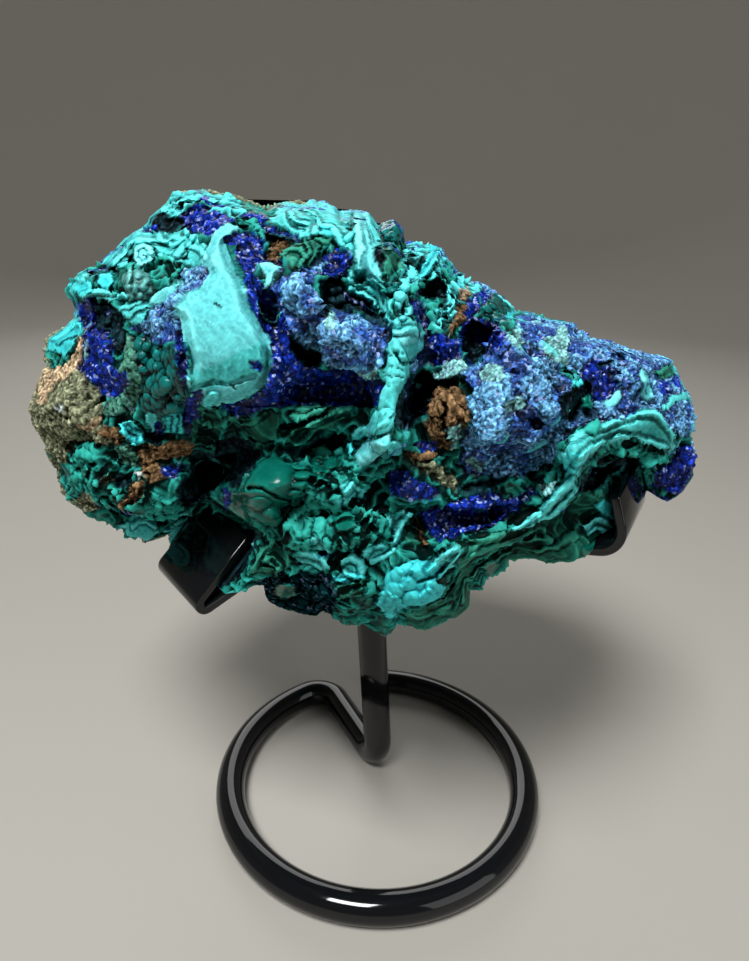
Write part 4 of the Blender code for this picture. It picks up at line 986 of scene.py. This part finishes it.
def clear_view_of_claws(points, thickness, gap):
    """Set the stone back behind the claws where the front view sees them."""
    pixels = view_pixels(points)
    for name, text in CLAW_PX.items():
        direction, corners, radii = CLAWS[name]
        inner = strap_inner(claw_line(corners, radii), thickness)
        turn = int(np.argmax(inner[:, 0]))
        held = near(pixels, trail(text), 3.0)
        held = held[edge_distance(pixels[held], trail(text)) > -2.0]
        spots = points[held]
        way = unit_rows(spots - EYE)
        for _ in range(SET_BACK_STEPS):
            out, _, height = beside_claw(spots, direction)
            limit = np.interp(height, inner[turn:, 1], inner[turn:, 0]) - gap
            ahead = (out > limit) & (out < limit + CLAW_DEPTH)
            spots = spots + SET_BACK_STEP * way * ahead[:, None]
        points[held] = spots
    return points


def strap_room(points, width, thickness):
    """Distance in millimetres from each point to the nearest strap."""
    room = np.full(len(points), 99.0)
    for direction, corners, radii in CLAWS.values():
        line = claw_line(corners, radii)
        middle = (line + strap_inner(line, thickness)) / 2
        out, aside, height = beside_claw(points, direction)
        aside = np.abs(aside) - width / 2
        held = np.nonzero(aside < STRAP_REACH)[0]
        flat = stroke_distance(np.stack([out, height], axis=1)[held], middle) - thickness / 2
        room[held] = np.minimum(room[held], np.hypot(np.maximum(flat, 0.0), np.maximum(aside[held], 0.0)))
    return room


def relax(points, edges, rounds, shrink_back=0.0):
    """Even out points with their neighbours, and swell again by a share so that nothing shrinks."""
    count = np.bincount(edges.ravel(), minlength=len(points))[:, None]
    for turn in range(rounds):
        total = np.stack(
            [
                np.bincount(edges[:, 0], points[edges[:, 1], k], len(points))
                + np.bincount(edges[:, 1], points[edges[:, 0], k], len(points))
                for k in range(3)
            ],
            axis=1,
        )
        share = -shrink_back if shrink_back and turn % 2 else 0.5
        points = (1.0 - share) * points + share * total / count
    return points


def tint_stone(points, share, depth, light, hollow, settings):
    """Colour with painted shade, painted highlight and painted glints, and roughness with grain and glitter,
    of every point.
    """
    tint = np.zeros((len(points), 3))
    finish = np.zeros((len(points), 3))
    blotch = layered(points, 4.0, 70, 4)
    block = np.floor(points @ TURN / SPECK_SIZE)
    speck, glint = lattice(block, 95), lattice(block, 97)
    # Painted shade: darker in hollows, in the small relief's low parts and along dark folds and edges, with
    # random blotches.
    painted_shade = 0.8 * depth + 0.25 * blotch + 0.9 * hollow - 0.6 * np.minimum(light, 0.6)
    painted_shade = np.clip(painted_shade, 0.0, 1.0)[:, None]
    # Painted highlight: lighter on crests, rims and light folds, less in hollows.
    painted_highlight = np.clip(0.55 * light - 0.5 * hollow + 0.12 * blotch, 0.0, 0.7)[:, None]
    painted_glints = np.zeros(len(points))
    for k, kind in enumerate(KINDS):
        _, rough, grain, glitter, dark, _ = MINERALS[kind]
        high = np.array(getattr(settings, kind))
        # At full painted shade the colour falls to the share dark of the mineral's colour.
        colour = high * (1.0 - painted_shade * (1.0 - dark))
        # The lighter colour that the painted highlight blends towards.
        highlight = np.clip(high * 2.4 + 0.05 * (0.15 + 0.85 * high / high.max()), 0.0, 0.9)
        colour = colour * (1.0 - painted_highlight) + highlight * painted_highlight
        tint += share[:, k : k + 1] * colour * (1.0 + 1.6 * grain * (speck - 0.5))[:, None]
        finish += share[:, k : k + 1] * np.array((rough, grain, glitter))
        # Painted glints: a few random points turned to the glint colour.
        painted_glints += share[:, k] * glitter * (glint > 0.98)
    painted_glints = (painted_glints * (1.0 - painted_shade[:, 0]))[:, None]
    tint = tint * (1.0 - painted_glints) + np.array(settings.glint) * painted_glints
    return tint, finish


# Helpers for bpy.ops


def nothing_selected():
    """Leave edit mode and deselect every object."""
    if bpy.context.object and bpy.context.object.mode != "OBJECT":
        bpy.ops.object.mode_set(mode="OBJECT")
    bpy.ops.object.select_all(action="DESELECT")


def make_active(piece):
    """Select this piece alone."""
    nothing_selected()
    piece.select_set(True)
    bpy.context.view_layer.objects.active = piece


def edit_all():
    """Enter edit mode with everything selected."""
    bpy.ops.object.mode_set(mode="EDIT")
    bpy.ops.mesh.select_all(action="SELECT")


def round_edges(piece, width, angle):
    """Round the piece's edges that are sharper than an angle in degrees."""
    bevel = piece.modifiers.new("rounded_edges", "BEVEL")
    bevel.width = width
    bevel.segments = 3
    bevel.limit_method = "ANGLE"
    bevel.angle_limit = math.radians(angle)
    bpy.ops.object.modifier_apply(modifier="rounded_edges")


def hand_over(piece, material, slot, *nodes):
    """Give a finished piece its material, unless it has its own, and its place in the frame."""
    if material:
        piece.data.materials.clear()
        piece.data.materials.append(material)
    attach(piece, "root")
    if nodes:
        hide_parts(*nodes)


# Materials


def feed(material, node, inputs):
    """Set a node's inputs to values, or link them to other nodes' outputs."""
    for name, value in inputs.items():
        if isinstance(value, bpy.types.NodeSocket):
            material.node_tree.links.new(value, node.inputs[name])
        else:
            node.inputs[name].default_value = value


def add_node(material, kind, inputs=None, **settings):
    """A new node with its settings and inputs. Returns its outputs."""
    node = material.node_tree.nodes.new(kind)
    for name, value in settings.items():
        setattr(node, name, value)
    feed(material, node, inputs or {})
    return node.outputs


def new_material(name):
    """A node material, its shader, and where the surface lies."""
    material = bpy.data.materials.new(name)
    material.use_nodes = True
    place = add_node(material, "ShaderNodeTexCoord")["Object"]
    return material, material.node_tree.nodes["Principled BSDF"], place


def mapped(material, value, low, high, start=0.0, end=1.0):
    """A value stretched from the range start to end onto the range low to high."""
    inputs = {"From Min": start, "From Max": end, "To Min": low, "To Max": high, "Value": value}
    return add_node(material, "ShaderNodeMapRange", inputs)["Result"]


def strengthened(material, colour, share, factor):
    """A colour multiplied by a factor, by a share from nought to one."""
    amount = add_node(material, "ShaderNodeMix", {"Factor": share, 2: 1.0, 3: factor})[0]
    inputs = {0: colour, "Scale": amount}
    return add_node(material, "ShaderNodeVectorMath", inputs, operation="SCALE")["Vector"]


def blended(material, share, first, second):
    """One colour passing into another."""
    return add_node(material, "ShaderNodeMix", {"Factor": share, 6: first, 7: second}, data_type="RGBA")[2]


def stone_material(name, specular, grain_size, glitter_size):
    """Grown mineral surface: tint and finish from the mesh, with grain, glitter with painted glints, and fine
    bumps.
    """
    material, shader, place = new_material(name)
    tint = add_node(material, "ShaderNodeAttribute", attribute_name="tint")["Color"]
    finish = add_node(material, "ShaderNodeAttribute", attribute_name="finish")["Color"]
    rough, grainy, glittery = add_node(material, "ShaderNodeSeparateColor", {"Color": finish})
    inputs = {"Scale": 1.0 / (grain_size * MM), "Detail": 4.0, "Vector": place}
    grain = add_node(material, "ShaderNodeTexNoise", inputs)["Fac"]
    inputs = {"Scale": 1.0 / (glitter_size * MM), "Vector": place}
    flake = add_node(material, "ShaderNodeTexVoronoi", inputs)["Color"]
    lit, turned, mottled = add_node(material, "ShaderNodeSeparateColor", {"Color": flake})
    colour = strengthened(material, tint, grainy, mapped(material, grain, 0.25, 1.75, 0.25, 0.75))
    colour = strengthened(material, colour, glittery, mapped(material, mottled, 0.12, 1.9, 0.1))
    # Painted glints: the rare cells that are turned to the glint colour.
    glint_cells = mapped(material, lit, 0.0, 1.0, 0.92, 0.985)
    glitter = add_node(material, "ShaderNodeMath", {0: glint_cells, 1: glittery}, operation="MULTIPLY")["Value"]
    inputs = {"Distance": 0.25 * MM, "Strength": grainy, "Height": grain}
    bumps = add_node(material, "ShaderNodeBump", inputs)["Normal"]
    inputs = {"Distance": 0.3 * MM, "Strength": glittery, "Height": turned, "Normal": bumps}
    facets = add_node(material, "ShaderNodeBump", inputs)["Normal"]
    feed(material, shader, {
        "Base Color": blended(material, glitter, colour, PAINTED_GLINT_COLOUR),
        "Roughness": rough,
        "Specular IOR Level": specular,
        "Normal": facets,
    })
    return material


def enamel_material(colour, roughness):
    """Gloss black enamel with faint orange peel and slightly duller patches."""
    material, shader, place = new_material("gloss_enamel")
    haze = add_node(material, "ShaderNodeTexNoise", {"Scale": 70.0, "Detail": 3.0, "Vector": place})["Fac"]
    peel = add_node(material, "ShaderNodeTexNoise", {"Scale": 450.0, "Vector": place})["Fac"]
    inputs = {"Strength": 0.12, "Distance": 0.05 * MM, "Height": peel}
    lighter = tuple(channel * 1.5 for channel in colour)
    feed(material, shader, {
        "Base Color": blended(material, haze, (*colour, 1.0), (*lighter, 1.0)),
        "Roughness": mapped(material, haze, roughness * 0.7, roughness * 1.5),
        "Specular IOR Level": 0.4,
        "Normal": add_node(material, "ShaderNodeBump", inputs)["Normal"],
    })
    return material


def floor_material(colour):
    """Plain pale matt floor."""
    material, shader, place = new_material("studio_floor")
    cloud = add_node(material, "ShaderNodeTexNoise", {"Scale": 3.0, "Vector": place})["Fac"]
    darker = tuple(channel * 0.97 for channel in colour)
    base = blended(material, cloud, (*colour, 1.0), (*darker, 1.0))
    feed(material, shader, {"Base Color": base, "Roughness": 0.8})
    return material


# Settings


def colour_choice(name, text, value):
    """A colour that a user can change."""
    return FloatVectorProperty(
        name=name, description=text, subtype="COLOR", size=3, min=0.0, max=1.0, default=value
    )


class StoneSettings(PropertyGroup):
    """Sizes and colours of the stone."""

    voxel: FloatProperty(
        name="Mesh size", description="Spacing of the stone's mesh", default=0.0007, unit="LENGTH"
    )
    gap: FloatProperty(
        name="Seat gap", description="Room between stone and straps", default=0.0006, unit="LENGTH"
    )
    grain: FloatProperty(name="Grain", description="Size of the fine grain in millimetres", default=0.7)
    glitter: FloatProperty(
        name="Glitter", description="Size of the glittering faces in millimetres", default=0.55
    )
    pale: colour_choice("Pale", "Pale velvety malachite", (0.108, 0.55, 0.575))
    velvet: colour_choice("Velvet", "Velvety malachite", (0.06, 0.49, 0.48))
    cyan: colour_choice("Cyan", "Bright smooth crust", (0.035, 0.51, 0.56))
    crust: colour_choice("Crust", "Ridged malachite crust", (0.055, 0.44, 0.45))
    sheet: colour_choice("Sheet", "Folded green sheets", (0.012, 0.12, 0.085))
    leaf: colour_choice("Leaf", "Dark crumpled malachite", (0.011, 0.175, 0.145))
    lobe: colour_choice("Lobe", "Smooth dark green lobes", (0.0008, 0.08, 0.06))
    bead: colour_choice("Bead", "Dark green botryoids", (0.001, 0.07, 0.066))
    # Dark botryoids, painted nearly black as the shade under the stone.
    night: colour_choice("Night", "Almost black botryoids", (0.0008, 0.013, 0.016))
    beadlight: colour_choice("Light bead", "Grey-green botryoids", (0.073, 0.257, 0.245))
    moss: colour_choice("Moss", "Mossy grains", (0.037, 0.132, 0.095))
    azurite: colour_choice("Azurite", "Deep blue azurite", (0.0022, 0.016, 0.21))
    granular: colour_choice("Granular", "Granular grey-blue azurite", (0.076, 0.22, 0.42))
    frost: colour_choice("Frost", "Pale green grains", (0.135, 0.33, 0.33))
    limonite: colour_choice("Limonite", "Olive-brown limonite", (0.107, 0.117, 0.072))
    sand: colour_choice("Sand", "Pale sandy limonite", (0.28, 0.21, 0.13))
    ochre: colour_choice("Ochre", "Orange-brown ochre", (0.085, 0.05, 0.023))
    chalk: colour_choice("Chalk", "White spots", (0.26, 0.31, 0.3))
    # Colour of the glints painted onto a few random points.
    glint: colour_choice("Glint", "Glittering faces", (0.42, 0.55, 0.90))
    # Near-black painted shade for cavities and gaps.
    dark: colour_choice("Dark", "Dark hollows", (0.0008, 0.006, 0.008))


class StandSettings(PropertyGroup):
    """Sizes and finish of the stand."""

    rod: FloatProperty(name="Rod", description="Rod diameter", default=0.008, unit="LENGTH")
    ring: FloatProperty(
        name="Ring", description="Ring radius at the rod's middle", default=0.04235, unit="LENGTH"
    )
    width: FloatProperty(
        name="Strap width", description="Width of the straps", default=0.020, unit="LENGTH"
    )
    thickness: FloatProperty(
        name="Strap thickness", description="Thickness of the straps", default=0.002, unit="LENGTH"
    )
    edge: FloatProperty(
        name="Strap edge", description="Rounding of the straps' edges", default=0.0004, unit="LENGTH"
    )
    enamel: colour_choice("Enamel", "Colour of the enamel", (0.0035, 0.0038, 0.0045))
    gloss: FloatProperty(
        name="Enamel roughness", description="Roughness of the enamel", default=0.06, min=0, max=1
    )


class StageSettings(PropertyGroup):
    """Floor, lights and camera."""

    floor: colour_choice("Floor", "Colour of the floor", (0.36, 0.345, 0.31))
    reach: FloatProperty(
        name="Floor reach", description="Radius of the flat floor", default=0.95, unit="LENGTH"
    )
    sweep: FloatProperty(
        name="Sweep", description="Radius of the floor's upward sweep", default=0.55, unit="LENGTH"
    )
    key: FloatProperty(name="Key light", description="Power of the main light", default=11.5, unit="POWER")
    fill: FloatProperty(name="Fill light", description="Power of the fill light", default=1.6, unit="POWER")
    back: FloatProperty(
        name="Back light", description="Power of the light behind", default=3.0, unit="POWER"
    )
    sky: FloatProperty(name="Sky", description="Strength of the surrounding light", default=0.13)


# Operators


class SPECIMEN_OT_stone(Operator):
    """Grow the stone from the frame's lump"""

    bl_idname = "specimen.grow_stone"
    bl_label = "Grow stone"

    def execute(self, context):
        """Remesh a copy of the lump, give it its relief and minerals, and cut it into pieces."""
        settings, stand = context.scene.specimen_stone, context.scene.specimen_stand
        nothing_selected()
        stone = bpy.data.objects.new("stone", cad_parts["specimen"].data.copy())
        context.scene.collection.objects.link(stone)
        make_active(stone)
        edit_all()
        bpy.ops.mesh.remove_doubles(threshold=MERGE_DISTANCE)
        bpy.ops.object.mode_set(mode="OBJECT")
        stone.data.remesh_voxel_size = settings.voxel
        bpy.ops.object.voxel_remesh()
        mesh = stone.data
        points = relax(read_points(mesh), read_edges(mesh), SMOOTH_ROUNDS, SWELL)
        write_points(mesh, points)
        self.refine(mesh, points)
        self.shape(mesh, settings, stand)
        make_active(stone)
        bpy.ops.object.shade_smooth()
        self.cut(context, stone)
        return {"FINISHED"}

    def refine(self, mesh, points):
        """Give the faces turned to the front a finer mesh."""
        facing = np.sum(read_normals(mesh) * unit_rows(EYE - points), axis=1)
        corners = np.empty(len(mesh.polygons) * 4, dtype=np.int64)
        mesh.polygons.foreach_get("vertices", corners)
        chosen = (facing > FINE_MESH_FACING)[corners.reshape(-1, 4)].any(axis=1)
        mesh.vertices.foreach_set("select", np.zeros(len(mesh.vertices), dtype=bool))
        mesh.edges.foreach_set("select", np.zeros(len(mesh.edges), dtype=bool))
        mesh.polygons.foreach_set("select", chosen)
        bpy.ops.object.mode_set(mode="EDIT")
        bpy.ops.mesh.select_mode(type="FACE")
        bpy.ops.mesh.subdivide(number_cuts=1, smoothness=0.6)
        bpy.ops.object.mode_set(mode="OBJECT")

    def shape(self, mesh, settings, stand):
        """Give the stone its relief, minerals and colours."""
        width, thickness, gap = stand.width / MM, stand.thickness / MM, settings.gap / MM
        edges = read_edges(mesh)
        points = relax(read_points(mesh), edges, 2)
        write_points(mesh, points)
        to_eye = unit_rows(EYE - points)
        facing = np.sum(read_normals(mesh) * to_eye, axis=1)
        in_front = smooth_step(facing / DRAWN_FACING)
        base = trim_lobe(pull_lobe(points), LOBE_TRIM_STARTS_PX[0])
        pixels = view_pixels(base)
        base = even_shield(base, pixels, facing)
        share, rise, edge = paint_minerals(base, pixels, in_front)
        placed, painted_fold_shading = placed_relief(base, pixels)
        points = base + to_eye * ((placed + rise) * in_front)[:, None]
        write_points(mesh, points)
        small, depth, crest_highlight = mineral_relief(points, share)
        points = fit_outline(points + read_normals(mesh) * small[:, None])
        free = smooth_step((strap_room(base, width, thickness) - gap) / STRAP_FADE)
        points = trim_lobe(base + (points - base) * free[:, None], LOBE_TRIM_STARTS_PX[1])
        points = clear_view_of_claws(points, thickness, gap)
        write_points(mesh, points)
        normals = read_normals(mesh)
        # How hollow or crested each point is, which sets the painted shade and painted highlight.
        fine = np.sum((relax(points, edges, FINE_ROUNDS) - points) * normals, axis=1)
        broad = np.sum((relax(points, edges, BROAD_ROUNDS) - points) * normals, axis=1)
        hollow = np.clip(fine / FINE_HOLLOW + broad / BROAD_HOLLOW, -1.0, 1.0)
        # Painted highlight and shade from the folds, the patch edges and the crests.
        light = painted_fold_shading * in_front + edge + 0.8 * crest_highlight
        tint, finish = tint_stone(points, share, depth, light, hollow, settings)
        add_field(mesh, "tint", tint)
        add_field(mesh, "finish", finish)
        self.lay_finishes(mesh, share, settings)

    def lay_finishes(self, mesh, share, settings):
        """Give each face the finish of the mineral at its first corner."""
        first = np.empty(len(mesh.polygons), dtype=np.int32)
        mesh.polygons.foreach_get("loop_start", first)
        corner = np.empty(len(mesh.loops), dtype=np.int32)
        mesh.loops.foreach_get("vertex_index", corner)
        mesh.materials.clear()
        for name, specular in FINISHES:
            mesh.materials.append(stone_material(name, specular, settings.grain, settings.glitter))
        glassy = share[:, [KINDS.index(kind) for kind in GLASSY]].sum(axis=1) > 0.5
        darkest = share[:, KINDS.index("night")] > 0.4
        finish_of = np.where(darkest, 2, glassy.astype(np.int32)).astype(np.int32)
        mesh.polygons.foreach_set("material_index", finish_of[corner[first]])

    def cut(self, context, stone):
        """Cut the stone into closed pieces with few enough faces each."""
        for name, place, way in STONE_CUTS:
            self.part(context, stone, name, place, way)
        stone.name = "stone_right"
        hand_over(stone, None, "azurite_malachite", "specimen")

    def part(self, context, stone, name, place, way):
        """Cut off the side that way points to as a closed piece, and close what is left."""
        piece = bpy.data.objects.new(name, stone.data.copy())
        context.scene.collection.objects.link(piece)
        for half, outer in ((piece, False), (stone, True)):
            make_active(half)
            edit_all()
            bpy.ops.mesh.bisect(
                plane_co=place,
                plane_no=way,
                use_fill=True,
                clear_outer=outer,
                clear_inner=not outer,
                threshold=CUT_THRESHOLD,
            )
            bpy.ops.mesh.mark_sharp()
            bpy.ops.object.mode_set(mode="OBJECT")
        hand_over(piece, None, "azurite_malachite", "specimen")


class SPECIMEN_OT_rod(Operator):
    """Bend the rod into the ring foot, the leg and the post"""

    bl_idname = "specimen.bend_rod"
    bl_label = "Bend rod"

    def execute(self, context):
        """Draw the rod's centre line, give it its thickness and round its ends."""
        stand = context.scene.specimen_stand
        ring, low = stand.ring / MM, stand.rod / MM / 2
        turns = np.arange(RING_FREE_END_DEG, RING_TURN_IN_DEG, -RING_STEP_DEG)
        turns = np.radians(np.append(turns, RING_TURN_IN_DEG))
        path = [np.array((ring * math.cos(turn), ring * math.sin(turn), low)) for turn in turns]
        leg, foot, top = np.array(LEG_CORNER), np.array(POST_FOOT), np.array(POST_TOP)
        path += rounded_corner(path[-1], leg, foot, LEG_BEND_RADIUS, ROD_BEND_STEPS)
        path += rounded_corner(leg, foot, top, POST_BEND_RADIUS, ROD_BEND_STEPS)
        path.append(top)
        path = np.array(path) + np.array((*RING_CENTRE, 0.0))
        nothing_selected()
        bpy.ops.curve.primitive_nurbs_path_add(location=(0, 0, 0))
        rod = context.object
        rod.name = "rod"
        curve = rod.data
        curve.splines.clear()
        line = curve.splines.new("POLY")
        line.points.add(len(path) - 1)
        for point, place in zip(line.points, path):
            point.co = (*(place * MM), 1.0)
        curve.dimensions = "3D"
        curve.bevel_depth = stand.rod / 2
        curve.bevel_resolution = 7
        curve.use_fill_caps = True
        make_active(rod)
        bpy.ops.object.convert(target="MESH")
        rod = context.object
        edit_all()
        bpy.ops.mesh.remove_doubles(threshold=MERGE_DISTANCE)
        bpy.ops.mesh.normals_make_consistent(inside=False)
        bpy.ops.object.mode_set(mode="OBJECT")
        round_edges(rod, ROD_END_ROUNDING, 60)
        bpy.ops.object.shade_smooth_by_angle(angle=math.radians(50))
        hand_over(rod, enamel_of(stand), "black_enamel", "stand_rod")
        return {"FINISHED"}


def enamel_of(stand):
    """The stand's enamel, made once."""
    return bpy.data.materials.get("gloss_enamel") or enamel_material(tuple(stand.enamel), stand.gloss)


class SPECIMEN_OT_straps(Operator):
    """Bend the three straps into claws"""

    bl_idname = "specimen.bend_straps"
    bl_label = "Bend straps"

    def execute(self, context):
        """Extrude each strap along its line, thicken it and round its edges."""
        stand = context.scene.specimen_stand
        half = stand.width / MM / 2
        for name, (direction, corners, radii) in CLAWS.items():
            nothing_selected()
            line = claw_line(corners, radii)
            along, left = claw_ways(direction)

            def place(spot, side):
                flat = along * spot[0] + left * side
                return Vector((*(HUB + flat) * MM, (spot[1] + CLAW_SLOPE * flat[1]) * MM))

            bpy.ops.mesh.primitive_plane_add(size=1.0, location=(0, 0, 0))
            strap = context.object
            strap.name = name + "_strap"
            ends = ((line[0], half), (line[0], -half), (line[1], half), (line[1], -half))
            for vertex, (spot, side) in zip(strap.data.vertices, ends):
                vertex.co = place(spot, side)
            bpy.ops.object.mode_set(mode="EDIT")
            bpy.ops.mesh.select_mode(type="VERT")
            bpy.ops.mesh.select_all(action="DESELECT")
            bpy.ops.object.mode_set(mode="OBJECT")
            for index in (2, 3):
                strap.data.vertices[index].select = True
            bpy.ops.object.mode_set(mode="EDIT")
            for before, after in zip(line[1:-1], line[2:]):
                step = place(after, 0.0) - place(before, 0.0)
                bpy.ops.mesh.extrude_region_move(TRANSFORM_OT_translate={"value": step})
            bpy.ops.object.mode_set(mode="OBJECT")
            walls = strap.modifiers.new("thickness", "SOLIDIFY")
            walls.thickness = stand.thickness
            walls.offset = self.inward(strap)
            walls.use_even_offset = True
            bpy.ops.object.modifier_apply(modifier="thickness")
            edit_all()
            bpy.ops.mesh.normals_make_consistent(inside=False)
            bpy.ops.object.mode_set(mode="OBJECT")
            round_edges(strap, stand.edge, 50)
            bpy.ops.object.shade_smooth_by_angle(angle=math.radians(45))
            hand_over(strap, enamel_of(stand), "black_enamel", name)
        return {"FINISHED"}

    def inward(self, strap):
        """Side on which the thickness grows: up, away from the outer line."""
        return 1.0 if strap.data.polygons[0].normal.z > 0 else -1.0


class SPECIMEN_OT_stage(Operator):
    """Set the floor, the lights and the camera"""

    bl_idname = "specimen.set_stage"
    bl_label = "Set stage"

    def execute(self, context):
        """A pale floor, soft lights and the camera at the picture's angle."""
        stage = context.scene.specimen_stage
        nothing_selected()
        reach, height = INNER_FLOOR_SHARE * stage.reach, 0.0
        bpy.ops.mesh.primitive_circle_add(
            vertices=FLOOR_SIDES, radius=reach, fill_type="NGON", location=(0, 0, 0)
        )
        floor = context.object
        floor.name = "floor"
        bpy.ops.object.mode_set(mode="EDIT")
        bpy.ops.mesh.select_mode(type="EDGE")
        bpy.ops.mesh.select_all(action="DESELECT")
        bpy.ops.mesh.select_non_manifold()
        rounds = []
        for k in range(SWEEP_STEPS + 1):
            turn = math.pi / 2 * k / SWEEP_STEPS
            rounds.append((stage.reach + stage.sweep * math.sin(turn), stage.sweep * (1.0 - math.cos(turn))))
        rounds.append((stage.reach + stage.sweep, WALL_HEIGHT * stage.sweep))
        for out, up in rounds:
            bpy.ops.mesh.extrude_region_move(TRANSFORM_OT_translate={"value": (0.0, 0.0, up - height)})
            wider = out / reach
            bpy.ops.transform.resize(value=(wider, wider, 1.0), center_override=(0.0, 0.0, up))
            reach, height = out, up
        bpy.ops.object.mode_set(mode="OBJECT")
        bpy.ops.object.shade_smooth()
        floor.data.materials.append(floor_material(tuple(stage.floor)))
        for name, (place, size, power) in LAMPS.items():
            self.lamp(context, name, place, size, getattr(stage, power))
        world = bpy.data.worlds.new("studio")
        world.use_nodes = True
        back = world.node_tree.nodes["Background"]
        back.inputs["Color"].default_value = (0.86, 0.86, 0.88, 1.0)
        back.inputs["Strength"].default_value = stage.sky
        context.scene.world = world
        context.scene.view_settings.view_transform = "Standard"
        self.camera(context)
        return {"FINISHED"}

    def lamp(self, context, name, place, size, power):
        """One square soft light."""
        bpy.ops.object.light_add(type="AREA", location=place)
        lamp = context.object
        lamp.name = name
        lamp.data.size = size
        lamp.data.energy = power
        lamp.visible_camera = False
        way = Vector(LAMP_TARGET) - Vector(place)
        lamp.rotation_euler = way.to_track_quat("-Z", "Y").to_euler()

    def camera(self, context):
        """The camera that took the front view."""
        bpy.ops.object.camera_add(location=(0, 0, 0))
        camera = context.object
        camera.name = "view_camera"
        camera.matrix_world = (
            Matrix.Translation(Vector(EYE * MM))
            @ Matrix.Rotation(math.pi / 2 - VIEW_TILT, 4, "X")
            @ Matrix.Rotation(VIEW_ROLL, 4, "Z")
        )
        camera.data.sensor_fit = "AUTO"
        camera.data.sensor_width = SENSOR_WIDTH
        camera.data.lens = VIEW_FOCAL_PX / PHOTO_HEIGHT_PX * SENSOR_WIDTH
        camera.data.clip_start = 0.005
        context.scene.camera = camera


class SPECIMEN_PT_panel(Panel):
    """The specimen's steps and settings"""

    bl_idname = "SPECIMEN_PT_panel"
    bl_label = "Mineral specimen"
    bl_space_type = "VIEW_3D"
    bl_region_type = "UI"
    bl_category = "Specimen"

    def draw(self, context):
        """List the operators and their settings."""
        for operator in OPERATORS:
            self.layout.operator(operator.bl_idname)
        for group in ("specimen_stone", "specimen_stand", "specimen_stage"):
            settings = getattr(context.scene, group)
            for name in settings.bl_rna.properties.keys():
                if name not in ("rna_type", "name"):
                    self.layout.prop(settings, name)


OPERATORS = (SPECIMEN_OT_stone, SPECIMEN_OT_rod, SPECIMEN_OT_straps, SPECIMEN_OT_stage)
GROUPS = {"specimen_stone": StoneSettings, "specimen_stand": StandSettings, "specimen_stage": StageSettings}


def register():
    """Make the settings, the operators and the panel known."""
    for kind in (*GROUPS.values(), *OPERATORS, SPECIMEN_PT_panel):
        bpy.utils.register_class(kind)
    for name, kind in GROUPS.items():
        setattr(bpy.types.Scene, name, PointerProperty(type=kind))


def unregister():
    """Take them away again."""
    for name in GROUPS:
        delattr(bpy.types.Scene, name)
    for kind in reversed((*GROUPS.values(), *OPERATORS, SPECIMEN_PT_panel)):
        bpy.utils.unregister_class(kind)


def main():
    """Build everything."""
    register()
    bpy.ops.specimen.grow_stone()
    bpy.ops.specimen.bend_rod()
    bpy.ops.specimen.bend_straps()
    bpy.ops.specimen.set_stage()


if __name__ == "__main__":
    main()
